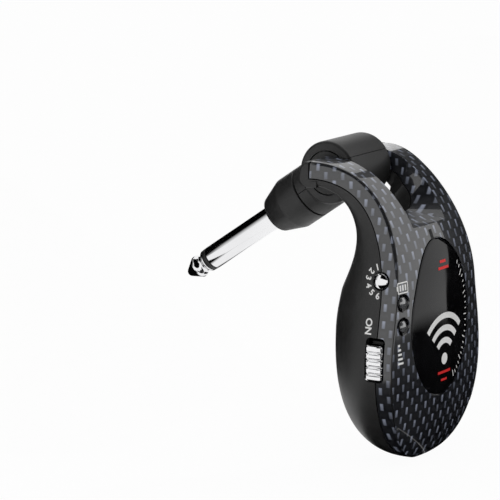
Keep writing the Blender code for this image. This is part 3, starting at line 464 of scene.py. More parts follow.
def finish(
    name, colour, roughness, spread=0.06, tint=0.12, bump=0.15, scale=3000.0, stretch=(1, 1, 1), **constants
):
    """A procedural finish: the grain moves colour, roughness and relief a little; the rest is constant."""
    mat = FINISHES[name] = bpy.data.materials.new(name)
    mat.use_nodes = True
    tree = mat.node_tree
    shader = tree.nodes["Principled BSDF"]
    place = tree.nodes.new("ShaderNodeTexCoord")
    mapping = tree.nodes.new("ShaderNodeMapping")
    mapping.inputs["Scale"].default_value = stretch
    tree.links.new(place.outputs["Object"], mapping.inputs["Vector"])
    use = use_group(tree, grain, mapping.outputs["Vector"])
    use.inputs["Scale"].default_value = scale
    use.inputs["Cloud Scale"].default_value = CLOUD_SCALE
    cloud = use.outputs["Cloud"]
    dark = [c * (1 - tint) for c in colour]
    light = [min(c * (1 + tint), 1) for c in colour]
    tree.links.new(blend_colours(tree, cloud, dark, light), shader.inputs["Base Color"])
    rough = ramp(tree, cloud, 0, 1, max(roughness - spread, LEAST_ROUGHNESS), roughness + spread)
    tree.links.new(rough, shader.inputs["Roughness"])
    if bump:
        relief = tree.nodes.new("ShaderNodeBump")
        relief.inputs["Strength"].default_value = bump
        relief.inputs["Distance"].default_value = RELIEF
        tree.links.new(use.outputs["Height"], relief.inputs["Height"])
        tree.links.new(relief.outputs["Normal"], shader.inputs["Normal"])
    for label, value in constants.items():
        shader.inputs[label.replace("_", " ").title().replace("Ior", "IOR")].default_value = value
    return mat


# %% [markdown]
# The skin of the front has the carbon look: a plain weave of flat bundles of fibre, called tows. Every other
# cell of the weave shows a pale dash, the tow that lies along; the cells between show the one that crosses.
# The pale tow carries painted sheen, soft across the tow and brighter towards one end, and the crossing tow a
# faint painted sheen in its middle.
# Modelling the tows would take thousands of faces for a flat print, so a second group draws them. It reads
# the shell's own UV map, which counts tows across and along the surface, and a clear coat goes over the print.

# %% Weave group
masks = [("Dash_and_sheen", FLOAT), ("Weft_and_sheen", FLOAT)]
weave, weave_in, weave_out = node_group("woven_tows_and_sheen", [("Vector", VECTOR)], masks)
split = weave.nodes.new("ShaderNodeSeparateXYZ")
weave.links.new(weave_in.outputs["Vector"], split.inputs[0])
cell = [maths(weave, "FLOOR", split.outputs[i]) for i in (0, 1)]
inside = [maths(weave, "FRACT", split.outputs[i]) for i in (0, 1)]


def to_middle(part):
    """1 in the middle of a cell and 0 at its edges: one less the size of twice the part less one."""
    off = maths(weave, "ABSOLUTE", maths(weave, "MULTIPLY_ADD", part, 2.0, -1.0))
    return maths(weave, "SUBTRACT", 1.0, off)


across, along = (to_middle(part) for part in inside)
parity = maths(weave, "FLOORED_MODULO", maths(weave, "ADD", *cell), 2.0)
row_parity = maths(weave, "FLOORED_MODULO", cell[1], 2.0)
# The pale tow of the weave, with painted sheen: soft across the tow and brighter towards one end of its cell.
# Every other row of them is dimmer.
dash = maths(weave, "MULTIPLY", ramp(weave, across, 0.42, 0.8), ramp(weave, along, 0.05, 0.2))
for fade in (ramp(weave, inside[1], 0, 1, 0.5, 1.0), ramp(weave, row_parity, 0, 1, 0.6, 1.0), parity):
    dash = maths(weave, "MULTIPLY", dash, fade)
weave.links.new(dash, weave_out.inputs["Dash_and_sheen"])
# The crossing tow, with a faint painted sheen in the middle of its cell.
weft = maths(weave, "MULTIPLY", ramp(weave, along, 0.1, 0.9), maths(weave, "SUBTRACT", 1.0, parity))
weave.links.new(weft, weave_out.inputs["Weft_and_sheen"])
print("group:", weave.name, "with", len(weave.nodes), "nodes")

# %% Carbon finish
# The pale tow's colour holds painted sheen at its peak, and the crossing tow's colour a faint painted sheen.
WEFT_AND_SHEEN_COLOUR, DASH_AND_SHEEN_COLOUR = (0.016, 0.017, 0.021), (0.29, 0.32, 0.41)
coat = {"Coat_Weight": 1.0, "Coat_Roughness": 0.03, "Coat_Ior": 1.65}
carbon = finish("carbon_weave", (0.01, 0.011, 0.014), 0.35, 0.05, 0.2, 0, **coat)
tree = carbon.node_tree
tows = tree.nodes.new("ShaderNodeUVMap")
tows.uv_map = "tows"
use = use_group(tree, weave, tows.outputs["UV"])
shade = tree.nodes["Principled BSDF"].inputs["Base Color"]
crossed = blend_colours(tree, use.outputs["Weft_and_sheen"], shade.links[0].from_socket, WEFT_AND_SHEEN_COLOUR)
tree.links.new(blend_colours(tree, use.outputs["Dash_and_sheen"], crossed, DASH_AND_SHEEN_COLOUR), shade)
print("carbon nodes:", len(tree.nodes))

# %% [markdown]
# The other finishes differ only in a few numbers: colour, roughness, how much both vary, and the relief. What
# is the same all over a piece, such as metal or glass, is set on the shader itself.

# %% Plain finishes
lens_values = {"Transmission_Weight": 0.4, "Ior": 1.9, "Coat_Weight": 1.0, "Coat_Ior": 2.2}
matte_black = finish("matte_black_plastic", (0.019, 0.019, 0.019), 0.42, 0.04, 0.12, 0.25)
gloss_black = finish("gloss_black_plate", (0.004, 0.004, 0.0045), 0.06, 0.02, 0.3, 0, Ior=1.36)
# A flat black that paints shade: in the groove along the front edge and in the slot near the top of the face.
painted_shade_black = finish("painted_shade_black", (0.003, 0.003, 0.003), 0.5)
chrome = finish("chrome", (0.86, 0.86, 0.87), 0.08, 0.03, 0.03, 0, Metallic=1.0)
finish("steel", (0.58, 0.58, 0.59), 0.3, 0.08, 0.08, 0.1, 2000.0, (1, 1, 8), Metallic=1.0)
finish("black_nylon", (0.01, 0.01, 0.01), 0.4)
clear_lens = finish("clear_lens", (0.2, 0.205, 0.215), 0.05, 0.02, 0.03, 0, **lens_values)
finish("light_emitter", (0.9, 0.85, 0.5), 0.3)
finish("board_green", (0.02, 0.16, 0.07), 0.35)
finish("cell_foil", (0.55, 0.56, 0.58), 0.32, Metallic=1.0)
finish("ceramic", (0.8, 0.8, 0.76), 0.5)
finish("lead_insulation", (0.5, 0.05, 0.04), 0.5)
print_white = finish("print_white", (0.86, 0.86, 0.85), 0.45, 0.05, 0.05, 0.1)
print_red = finish("print_red", (0.78, 0.012, 0.012), 0.4, 0.05, 0.08, 0.1)
print("finishes:", len(FINISHES))

# %% [markdown]
# The fork notch lets the hub turn between the two arms. Its outline is drawn beside the spine: straight past
# the hub, then a round floor in the rear shell and a flared ramp in the front shell. The cutter is that
# outline on several lifts, mirrored and swept round the bend, as the casing itself is.

# %% Notch
HUB_RADIUS, HUB_LENGTH = 8.1 * MM, 18.8 * MM
NOTCH_HALF = HUB_LENGTH / 2 + GAP
NOTCH_FLOOR_RADIUS, NOTCH_FLOOR_ARC = 7.6 * MM, 22.8 * MM
RAMP_ARC, RAMP_HALF_WIDTH, NOTCH_STRAIGHT = 28.2 * MM, 9.2 * MM, 9.5 * MM
TIP = 0.3 * MM
NOTCH_REACH = BEND_REACH - 5 * WALL


def notch_side(end, end_half, rounded):
    """One side of the notch, rows of (half width, place): straight, then a quarter round or a flared ramp."""
    first = SPINE_RUN + NOTCH_STRAIGHT
    straight = np.stack([np.full(6, NOTCH_HALF), np.linspace(-2 * HUB_RADIUS, first, 6)], -1)
    if rounded:
        a = np.linspace(0, math.pi / 2, 48)
        half, place = np.maximum(end_half * np.cos(a), TIP), end + end_half * (np.sin(a) - 1)
        return np.concatenate([straight, np.stack([half, place], -1)])
    t = np.linspace(0, 1, 47)
    half, place = NOTCH_HALF + (end_half - NOTCH_HALF) * t**2, first + GAP + (end - first - GAP) * t
    return np.concatenate([straight, np.stack([half, place], -1), [[TIP, end]]])


def notch(name, layers):
    """A cutter whose rings run over the lifts on the left side and back on the right."""
    lifts = np.array([lift for lift, _ in layers])
    x, s = np.stack([outline for _, outline in layers], 1).transpose(2, 0, 1)
    left, far = on_spine(-x, s, lifts), on_spine(x, s, lifts)[:, ::-1]
    return loft(name, np.concatenate([left, far], 1))


floor_side = notch_side(NOTCH_FLOOR_ARC, NOTCH_FLOOR_RADIUS, True)
ramp_side = notch_side(RAMP_ARC, RAMP_HALF_WIDTH, False)
print("notch rows:", len(floor_side), len(ramp_side))

# %% [markdown]
# The controls come through the left flank and the charging socket through the right one, so both shells share
# these cutters: a round bore for the button, a rounded slot for the knob and a rounded port.

# %% Flank cutters
CONTROL_Y = -FACE_BACK + 0.5 * MM
BUTTON_DROP, BUTTON_DIAMETER = 23.8 * MM, 4.1 * MM
SLOT_DROP, SLOT_WIDTH, SLOT_CORNER = 43.3 * MM, 5.4 * MM, 1.2 * MM
KNOB_LENGTH, KNOB_WIDTH, KNOB_TRAVEL, KNOB_PROUD = 9.2 * MM, 4.8 * MM, 1.3 * MM, 0.9 * MM
SLOT_LENGTH = KNOB_LENGTH + KNOB_TRAVEL + 2 * GAP
usb_low, usb_high = (np.array(corner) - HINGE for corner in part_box("usb_socket"))


def rounded_outline(length, width, corner, centre, steps=8):
    """Corner points of a rounded rectangle in y and z: four quarter rounds, one after the other."""
    a = np.linspace(0, math.pi / 2, steps)[None, :] + np.arange(4)[:, None] * math.pi / 2
    sign = np.array([[1, 1], [-1, 1], [-1, -1], [1, -1]])[:, None, :]
    box = np.array([width / 2 - corner, length / 2 - corner])
    return (np.array(centre) + sign * box + corner * np.stack([np.cos(a), np.sin(a)], -1)).reshape(-1, 2)


def flank_cutters():
    """Bore, slot and port, made anew for each shell."""
    radius = BUTTON_DIAMETER / 2 + GAP
    bore = [(0, 0), (radius, 0), (radius, BELLY_WIDTH), (0, BELLY_WIDTH)]
    slot = rounded_outline(SLOT_LENGTH, SLOT_WIDTH, SLOT_CORNER, (CONTROL_Y, -SLOT_DROP))
    size = usb_high - usb_low + 2 * GAP
    port = rounded_outline(size[2], size[1], 2 * GAP, (usb_low + usb_high)[1:] / 2)
    return [
        revolved("bore", bore, HINGE + (0, CONTROL_Y, -BUTTON_DROP), (-1, 0, 0)),
        slab("slot", slot, -BELLY_WIDTH, 0),
        slab("port", port, 0, BELLY_WIDTH),
    ]


print("slot length in mm:", round(SLOT_LENGTH / MM, 1))

# %% [markdown]
# The front shell is the carbon-look skin. It is one loft along the spine with a rounded front edge, hollow
# below the fork. The notch, the seat of the oval plate, the two lens holes and the flank openings are cut from
# it with booleans, because openings that cross a curved edge are hard to draw as one grid.

# %% Front shell
CARBON_START, CAVITY_CEILING = 0.6 * MM, 3.4 * MM
CAVITY_START = RAMP_ARC + 3.0 * MM
PLATE_WIDTH, PLATE_HEIGHT, PLATE_THICKNESS = 28.4 * MM, 38.2 * MM, 1.0 * MM
PLATE_DROP, PLATE_PROUD = 36.4 * MM, 0.1 * MM
LENS_SIDE, LENS_DROPS, LENS_DIAMETER = 17.5 * MM, (29.1 * MM, 35.1 * MM), 3.0 * MM
SINK_WIDTH, SINK_DEPTH = 4.3 * MM, 0.4 * MM


def oval(shares, lifts, width, height, steps=96):
    """Rings of an oval on the crowned face: each is a share of the full oval at its own lift over the face."""
    a = np.linspace(0, 2 * math.pi, steps, endpoint=False)[None, :]
    share = np.asarray(shares)[:, None]
    x = share * width / 2 * np.cos(a)
    s = drop_to_arc(PLATE_DROP - share * height / 2 * np.sin(a))
    return on_spine(x, s, front_height(x, s) + np.asarray(lifts)[:, None])


def lens_place(drop):
    """Foot of a lens's axis on the parting plane, and the height of the face there."""
    return HINGE + (-LENS_SIDE, -FACE_BACK, -drop), float(front_height(LENS_SIDE, drop_to_arc(drop)))


def lens_cutter(drop):
    """A round hole with a conical sink at the face."""
    foot, face = lens_place(drop)
    hole, sink, over = LENS_DIAMETER / 2 + GAP, SINK_WIDTH / 2 + SINK_DEPTH, face + SINK_DEPTH
    profile = [(0, 0), (hole, 0), (hole, face - SINK_DEPTH), (sink, over), (0, over)]
    return revolved("lens_hole", profile, foot, (0, -1, 0))


def front_cavity():
    """The hollow of the front shell: a box section that keeps a wall from the sides and the round bottom."""
    s = spine_places(CAVITY_START, SPINE_END - 3 * WALL, 60)[:, None]
    wide = half_width(s) - WALL
    top = np.minimum(CAVITY_CEILING, FRONT_HEIGHT * closing(s) - WALL / 2)
    low = np.full_like(wide, -GAP)
    x, lift = np.concatenate([-wide, -wide, wide, wide], 1), np.concatenate([low, top, top, low], 1)
    return loft("front_cavity", on_spine(x, s, lift))


def plate_seat():
    """The room for the oval plate, with a gap all round, from under the plate to well above the face."""
    shares = np.linspace(0.1, 1, 10)
    lifts = np.repeat([-PLATE_THICKNESS - GAP, 3 * WALL], 10)
    rings = np.concatenate([shares, shares[::-1]])
    return loft("plate_seat", oval(rings, lifts, PLATE_WIDTH + 2 * GAP, PLATE_HEIGHT + 2 * GAP))


front = loft("front_casing", front_section(spine_places(CARBON_START + GAP, SPINE_END - TIP, 170)))
lifts = (-GAP, HALF_GAP + GAP, FRONT_HEIGHT + FRONT_CROWN, NOTCH_REACH)
front_notch = notch("front_notch", list(zip(lifts, (floor_side, floor_side, ramp_side, ramp_side))))
lens_holes = [lens_cutter(drop) for drop in LENS_DROPS]
carve(front, [front_notch, front_cavity(), plate_seat(), *flank_cutters(), *lens_holes])
front.data.materials.append(carbon)
print("front shell faces:", len(front.data.polygons))

# %% [markdown]
# The weave of the real skin runs straight: on the face its tows go along the spine, and on the sides they stay
# upright. The UV map therefore takes each face's own direction: sides read y and z, the rest reads x and the
# length along the face, both counted in tows.

# %% Tow coordinates
TOW = 2.08 * MM
SIDEWAYS = 0.4


def lay_tows(obj):
    """Writes the UV map: y and z on faces that look sideways, otherwise x and the length along the face."""
    mesh = obj.data
    corners = read(mesh.loops, "vertex_index", kind=np.int32)[:, 0]
    x, y, z = (read(mesh.vertices, "co", 3) - HINGE)[corners].T
    sizes = read(mesh.polygons, "loop_total", kind=np.int32)[:, 0]
    sideways = np.repeat(np.abs(read(mesh.polygons, "normal", 3)[:, 0]) > SIDEWAYS, sizes)
    wide, tall = BEND_REACH + FRONT_HEIGHT, BEND_DROP + FRONT_HEIGHT
    bend = np.clip(np.arctan2(-(y + SPINE_RUN) / wide, (z + BEND_DROP) / tall), 0, math.pi / 2)
    bend_length = math.hypot(wide, tall) / math.sqrt(2) * bend
    length = np.minimum(-y, SPINE_RUN) + bend_length + np.maximum(-BEND_DROP - z, 0)
    uv = np.where(sideways, [y, z], [x, -length]).T / TOW
    mesh.uv_layers.new(name="tows").data.foreach_set("uv", uv.astype(np.float32).ravel())


lay_tows(front)
dress(front, "casing", "carbon_weave", "front_shell")

# %% [markdown]
# The rear shell is the soft matte half, a full oval section behind the parting line. The two rounded arm ends,
# the knuckles, belong to it: they are one bar with rounded rims across both arms, which the notch then parts
# in two. Made so, both knuckles stay exactly in line.

# %% Rear shell
KNUCKLE_EDGE, KNUCKLE_REACH, KNUCKLE_ROOT = 0.8 * MM, 2.5 * MM, 3.0 * MM
ROOT_DEPTH = 0.9 * ARM_DEPTH


def knuckle_rings():
    """Side outlines of the arm end, each drawn in by the rim's rounding at its own place across."""
    a = np.linspace(0, math.pi / 2, 9)
    rim = KNUCKLE_EDGE * (1 - np.sin(a))
    inset = np.concatenate([rim, rim[::-1]])[:, None]
    reach = ARM_SPAN / 2 - KNUCKLE_EDGE * (1 - np.cos(a[::-1]))
    x = np.concatenate([-reach[::-1], reach])[:, None]
    t = np.linspace(math.pi / 2, -math.pi / 2, 48)[None, :]
    round_y = (KNUCKLE_REACH - inset) * np.cos(t)
    round_z = np.where(t > 0, FRONT_HEIGHT - inset, ARM_DEPTH - inset) * np.sin(t)
    fixed = (CARBON_START, KNUCKLE_ROOT, ROOT_DEPTH, 2 * GAP)
    start, root, deep, level = (np.full_like(inset, value) for value in fixed)
    y = np.concatenate([-start, round_y, -root, -root, -start], 1)
    z = np.concatenate([FRONT_HEIGHT - inset, round_z, -deep, -level, -level], 1)
    return np.stack([np.broadcast_to(x, y.shape), y, z], -1) + HINGE


rear = loft("rear_casing", rear_section(spine_places(0, SPINE_END - TIP, 170)))
carve(rear, [loft("knuckle", knuckle_rings(), flat_ends=True)], "UNION")
hollow_places = spine_places(CAVITY_START, SPINE_END - 3 * WALL, 60)
hollow = loft("rear_cavity", rear_section(hollow_places, GAP, WALL))
rear_notch = notch("rear_notch", [(-NOTCH_REACH, floor_side), (NOTCH_REACH, floor_side)])
carve(rear, [rear_notch, hollow, *flank_cutters()])
rear.data.materials.append(matte_black)
dress(rear, "casing", "matte_black_plastic", "rear_shell")

# %% [markdown]
# A fine seam runs along the front edge of the skin, where the face meets the sides; the shade in its groove
# shows as a dark line. It is a thin round bead set half into the edge, black as painted shade: a circle
# carried along the edge line. A cut groove would look the same from here and needs far more faces.

# %% Edge seam
SEAM_RADIUS, SEAM_ANGLE = 0.13 * MM, 0.9


def edge_seam(name, sign):
    """A circle carried along the middle of the rounded front edge."""
    s = spine_places(CARBON_START + 2 * GAP, SPINE_END - 6 * WALL, 140)[:, None]
    edge, flat = front_edge(s)
    x = sign * (flat + edge * math.cos(SEAM_ANGLE))
    lift = front_height(flat, s) - edge * (1 - math.sin(SEAM_ANGLE))
    a = np.linspace(0, 2 * math.pi, 12, endpoint=False)[None, :]
    rings = on_spine(x + SEAM_RADIUS * np.cos(a), s, lift + SEAM_RADIUS * np.sin(a))
    # The bead's black is painted shade in the groove.
    return loft(name, rings, painted_shade_black)


for label, sign in (("left", -1), ("right", 1)):
    dress(edge_seam(f"edge_seam_{label}", sign), "casing", "matte_black_plastic")

# %% [markdown]
# The plug is a standard two-contact jack plug. Its sleeve, insulating ring and tip are profiles turned round
# the plug's axis, as on a lathe, and so is the conical collar that holds them. Heights are measured along the
# plug from the hinge axis.

# %% Collar
PLUG_RADIUS, PLUG_LENGTH, TIP_LENGTH = 6.35 / 2 * MM, 33.2 * MM, 7.9 * MM
COLLAR_LENGTH, COLLAR_RADIUS, COLLAR_NOSE, COLLAR_CONE = 12.6 * MM, 7.1 * MM, 5.1 * MM, 6.3 * MM
COLLAR_EDGE, COLLAR_WALL, COLLAR_FLOOR, RIM = 0.7 * MM, 1.1 * MM, 6.0 * MM, 0.15 * MM
CONE_BLEND, CONE_DIP = 0.2 * MM, 0.06 * MM
PLUG_AXIS = np.array([0, math.cos(PLUG_ANGLE), -math.sin(PLUG_ANGLE)])
COLLAR_BACK = SHOULDER_REACH - COLLAR_LENGTH
RIGHT_ANGLE = math.pi / 2


def round_over(centre_r, centre_h, radius_r, radius_h, start, end, steps=16):
    """Rows of (radius, height) on part of an ellipse, from one angle to the other."""
    a = np.linspace(start, end, steps)
    return list(zip(centre_r + radius_r * np.cos(a), centre_h + radius_h * np.sin(a)))


def plug_piece(name, rows, slot, node, closed=True):
    """A profile turned round the plug's axis, which rides on the plug."""
    made = revolved(name, rows, HINGE, PLUG_AXIS, FINISHES[slot], 96, closed)
    dress(made, "plug_arm", slot, node)


cone_foot, cone_top = SHOULDER_REACH - COLLAR_CONE, SHOULDER_REACH - COLLAR_EDGE
bore, inner = PLUG_RADIUS + GAP, COLLAR_RADIUS - COLLAR_WALL
collar_rows = [
    (bore, SHOULDER_REACH),
    *round_over(COLLAR_NOSE - COLLAR_EDGE, cone_top, COLLAR_EDGE, COLLAR_EDGE, RIGHT_ANGLE, 0.35, 12),
    (COLLAR_RADIUS - CONE_DIP, cone_foot + CONE_BLEND),
    (COLLAR_RADIUS, cone_foot - CONE_BLEND),
    (COLLAR_RADIUS, COLLAR_BACK + RIM),
    (COLLAR_RADIUS - RIM, COLLAR_BACK),
    (inner, COLLAR_BACK),
    (inner, SHOULDER_REACH - COLLAR_FLOOR),
    (bore, SHOULDER_REACH - COLLAR_FLOOR),
]
plug_piece("collar", collar_rows, "matte_black_plastic", "plug_collar")

# %% Sleeve and insulator
INSULATOR_WIDTH, INSULATOR_BORE, INSULATOR_INSET, BULGE = 1.2 * MM, 1.2 * MM, 0.2 * MM, 0.1 * MM
SLEEVE_BORE, SLEEVE_ROOT, SLEEVE_EDGE, JOINT = 1.8 * MM, 5.0 * MM, 0.3 * MM, 0.1 * MM
TIP_REACH = SHOULDER_REACH + PLUG_LENGTH
ring_top = TIP_REACH - TIP_LENGTH
ring_low = ring_top - INSULATOR_WIDTH
sleeve_root, sleeve_end = SHOULDER_REACH - SLEEVE_ROOT, ring_low - JOINT
edge_low = sleeve_end - SLEEVE_EDGE
sleeve_rows = [
    (SLEEVE_BORE, sleeve_root),
    (PLUG_RADIUS, sleeve_root),
    *[(PLUG_RADIUS, h) for h in np.linspace(SHOULDER_REACH, edge_low, 5)],
    *round_over(PLUG_RADIUS - SLEEVE_EDGE, edge_low, SLEEVE_EDGE, SLEEVE_EDGE, 0, RIGHT_ANGLE, 6),
    (SLEEVE_BORE, sleeve_end),
]
plug_piece("sleeve", sleeve_rows, "chrome", "plug_sleeve")

half_ring = INSULATOR_WIDTH / 2
ring_radius, ring_middle = PLUG_RADIUS - INSULATOR_INSET, ring_low + half_ring
bulge = round_over(ring_radius, ring_middle, BULGE, half_ring, -RIGHT_ANGLE, RIGHT_ANGLE)
insulator_rows = [(INSULATOR_BORE, ring_low), *bulge, (INSULATOR_BORE, ring_top)]
plug_piece("insulator", insulator_rows, "black_nylon", "plug_insulator")

# %% [markdown]
# The tip has the shape that the spring in a jack catches: a collar, a narrow waist, a swell and a blunt cone
# to a round nose. The first half is a smooth curve through a few radii, and the cone is one straight step to
# the nose's arc.

# %% Tip
TIP_WAIST, TIP_NOSE, NOSE_ARC, TIP_INSET = 2.2 * MM, 1.3 * MM, 1.0, 0.15 * MM
base, swell = ring_top + JOINT, PLUG_RADIUS - TIP_INSET
stations = [(0, swell), (0.05, swell), (0.17, TIP_WAIST), (0.25, TIP_WAIST), (0.43, swell), (0.5, swell)]
share = np.linspace(0, 0.5, 40)
body_rows = list(zip(eased(stations, share), base + share * (TIP_REACH - base)))
nose = round_over(0, TIP_REACH - TIP_NOSE, TIP_NOSE, TIP_NOSE, RIGHT_ANGLE - NOSE_ARC, RIGHT_ANGLE, 14)
tip_rows = [(0, base), *body_rows, *nose[:-1], (0, TIP_REACH)]
plug_piece("tip", tip_rows, "chrome", "plug_tip", closed=False)

# %% [markdown]
# The hub is a barrel on the hinge axis with a short neck towards the collar. It is moulded in two halves that
# meet in the plane of the plug, so a whole hub is turned and joined first and then cut off at that plane by a
# large box, once for each half.

# %% Hub halves
HUB_EDGE, HUB_RIM, HUB_RECESS, PIN_HOLE = 0.9 * MM, 2.3 * MM, 1.2 * MM, 1.8 * MM
NECK_START, SPIGOT_INSET, SPIGOT_LENGTH = 3.0 * MM, 1.4 * MM, 3.5 * MM
BOX_LOW, BOX_HIGH = np.array([-20, -20, -20]) * MM, np.array([20 * MM, 40 * MM, HALF_GAP / 2])
BOX_QUADS = [(0, 1, 3, 2), (4, 6, 7, 5), (0, 4, 5, 1), (2, 3, 7, 6), (0, 2, 6, 4), (1, 5, 7, 3)]
half, cup = HUB_LENGTH / 2, HUB_RADIUS - HUB_RIM
rim = round_over(HUB_RADIUS - HUB_EDGE, half - HUB_EDGE, HUB_EDGE, HUB_EDGE, 0, RIGHT_ANGLE, 10)
quarter = [*rim, (cup, half), (cup, half - HUB_RECESS), (PIN_HOLE, half - HUB_RECESS)]
hub_rows = quarter + [(r, -x) for r, x in reversed(quarter)]
neck_end, spigot = COLLAR_BACK - GAP, COLLAR_RADIUS - SPIGOT_INSET
neck_rows = [
    (0, NECK_START),
    (COLLAR_RADIUS, NECK_START),
    (COLLAR_RADIUS, neck_end - RIM),
    (COLLAR_RADIUS - RIM, neck_end),
    (spigot, neck_end),
    (spigot, neck_end + SPIGOT_LENGTH),
    (0, neck_end + SPIGOT_LENGTH),
]
corners = BOX_LOW + np.array(list(np.ndindex(2, 2, 2))) * (BOX_HIGH - BOX_LOW)
upward = np.array([0, math.sin(PLUG_ANGLE), math.cos(PLUG_ANGLE)])
for name, sign in (("hub_upper", 1), ("hub_lower", -1)):
    hub = revolved(name, hub_rows, HINGE, (1, 0, 0), None, 128, closed=True)
    carve(hub, [revolved("neck", neck_rows, HINGE, PLUG_AXIS, None, 96)], "UNION")
    box_axes = np.stack([np.array([1, 0, 0]), PLUG_AXIS, upward * sign])
    carve(hub, [piece("parting", corners @ box_axes + HINGE, BOX_QUADS, None)])
    hub.data.materials.append(matte_black)
    dress(hub, "plug_arm", "matte_black_plastic", f"{name}_half")

# %% [markdown]
# The oval plate is a gloss black inlay that follows the crown of the face, with a softly rounded rim. It is a
# set of oval rings: the underside, the rim and the top. A flat disc would stand off the crowned face at its
# ends.

# %% Oval plate
under, rim, top = np.linspace(0.1, 1, 8), [1.0, 0.998, 0.993, 0.986], np.linspace(0.95, 0.03, 24)
rim_lifts = np.array([-0.25, -0.05, 0.06, 0.1]) * MM
lifts = np.concatenate([np.full(8, -PLATE_THICKNESS), rim_lifts, np.full(24, PLATE_PROUD)])
rings = oval(np.concatenate([under, rim, top]), lifts, PLATE_WIDTH, PLATE_HEIGHT)
dress(loft("face_plate", rings, gloss_black), "casing", "gloss_black_plate", "oval_plate")

# %% [markdown]
# The button is a bright dome with a flange behind the wall, turned round its own axis. The dome's profile is a
# quarter of an ellipse, because it stands out less than half a ball would.

# %% Button
DOME_HEIGHT, FLANGE_RADIUS, FLANGE_THICKNESS = 0.9 * MM, 2.7 * MM, 0.6 * MM


def flank(drop):
    """Half width of the casing at a drop below the hinge."""
    return float(half_width(drop_to_arc(drop)))


def dome_rows(centre, radius, height, steps):
    """A quarter of an ellipse from the pole on the axis to the rim."""
    rows = round_over(0, centre, radius, height, RIGHT_ANGLE, 0, steps)
    return [(0, rows[0][1]), *rows[1:]]


seat = -(WALL + 3 * GAP)
flange_low = seat - FLANGE_THICKNESS
skirt = [(BUTTON_DIAMETER / 2, seat), (FLANGE_RADIUS, seat), (FLANGE_RADIUS, flange_low), (0, flange_low)]
button_rows = dome_rows(0, BUTTON_DIAMETER / 2, DOME_HEIGHT, 20) + skirt
button_place = HINGE + (-flank(BUTTON_DROP), CONTROL_Y, -BUTTON_DROP)
button = revolved("button_cap", button_rows, button_place, (-1, 0, 0), chrome, 64)
dress(button, "button", "chrome", "channel_button")

# %% [markdown]
# The knob is a bright slider with cross ribs for the thumb: a rounded section carried up the slot. Its ends
# are drawn in as quarter rounds, and its outer side dips in a round groove between the ribs.

# %% Knob
KNOB_EDGE, RIB_PITCH, RIB_DEPTH, GROOVE_SHARE, KNOB_ROUND = 0.6 * MM, 1.8 * MM, 0.5 * MM, 0.55, 0.28
outer, inner = flank(SLOT_DROP) + KNOB_PROUD, flank(SLOT_DROP) - WALL - GAP
rest = -SLOT_DROP - KNOB_TRAVEL / 2
z = np.linspace(-KNOB_LENGTH / 2, KNOB_LENGTH / 2, 181)[:, None]
to_end = np.clip(np.abs(z) - (KNOB_LENGTH / 2 - KNOB_EDGE), 0, KNOB_EDGE)
draw_in = KNOB_EDGE - np.sqrt(np.clip(KNOB_EDGE**2 - to_end**2, 0, None))
phase = np.abs((z + 2 * RIB_PITCH) / RIB_PITCH % 1 - 0.5) * 2
groove = RIB_DEPTH * np.clip(1 - (phase / GROOVE_SHARE) ** 2, 0, 1) * (np.abs(z) < 2 * RIB_PITCH)
outline = rounded_outline(1, 1, KNOB_ROUND, (0, 0), 10)[None]
y = outline[..., 0] * (KNOB_WIDTH - 2 * draw_in)
depth = (outline[..., 1] + 0.5) * (outer - inner - groove - draw_in)
knob_rings = np.stack([-inner - depth, CONTROL_Y + y, np.broadcast_to(rest + z, y.shape)], -1) + HINGE
dress(loft("switch_slider", knob_rings, chrome), "switch", "chrome", "power_switch_knob")

# %% [markdown]
# Each indicator is a clear dome in a dark sunken ring. The dome is an ellipse turned round its axis, and the
# ring is a shallow cone that lines the sink.

# %% Lenses
LENS_SUNK, LENS_RISE, LENS_FOOT = 0.35 * MM, 0.8 * MM, CAVITY_CEILING - 0.1 * MM
RING_DEPTH, RING_FOOT = 1.2 * MM, 0.3 * MM
radius = LENS_DIAMETER / 2
inner_edge, outer_edge = radius + 0.05 * MM, SINK_WIDTH / 2 + 0.25 * MM
for name, drop in zip(("battery", "audio"), LENS_DROPS):
    foot, face = lens_place(drop)
    rows = dome_rows(face - LENS_SUNK, radius, LENS_RISE, 18) + [(radius, LENS_FOOT), (0, LENS_FOOT)]
    lens = revolved(f"{name}_dome", rows, foot, (0, -1, 0), clear_lens, 64)
    dress(lens, "casing", "clear_lens", f"{name}_lens")
    rows = [
        (inner_edge, face - RING_DEPTH),
        (inner_edge, face - 0.15 * MM),
        (outer_edge, face + 0.05 * MM),
        (outer_edge, face - 0.1 * MM),
        (inner_edge + RING_FOOT, face - RING_DEPTH),
    ]
    ring = revolved(f"{name}_ring", rows, foot, (0, -1, 0), gloss_black, 64, closed=True)
    dress(ring, "casing", "gloss_black_plate")

# %% [markdown]
# Printed marks are thin skins that lie on the surface. A mark is drawn flat, in millimetres, and every point
# is then laid on the face, the plate or the flank by that surface's own formula. So a mark bends with the
# casing and needs no image.

# %% Marked surfaces
PRINT = 0.05 * MM


def on_face(a, b, proud=PRINT):
    """Flat (x, z) to the front face, a little proud of it."""
    s = drop_to_arc(-b)
    return on_spine(a, s, front_height(a, s) + proud)


def on_plate(a, b):
    """Flat (x, z) to the top of the oval plate."""
    return on_face(a, b, PLATE_PROUD + PRINT)


def on_flank(a, b):
    """Flat (distance in front of the hinge, z) to the rear shell's left flank: its section solved for x."""
    s = drop_to_arc(-b)
    down = np.clip(FACE_BACK - a - HALF_GAP, 0, None) / (rear_depth(s) - HALF_GAP)
    n = rear_power(s)
    x = -half_width(s) * np.clip(1 - down**n, 0, 1) ** (1 / n) - PRINT
    return np.stack([x, -a, b], -1) + HINGE


print("print stands proud by mm:", PRINT / MM)

# %% Mark helpers
OUT = np.array([-0.7, -0.7, 0])
BOLDER = 0.03


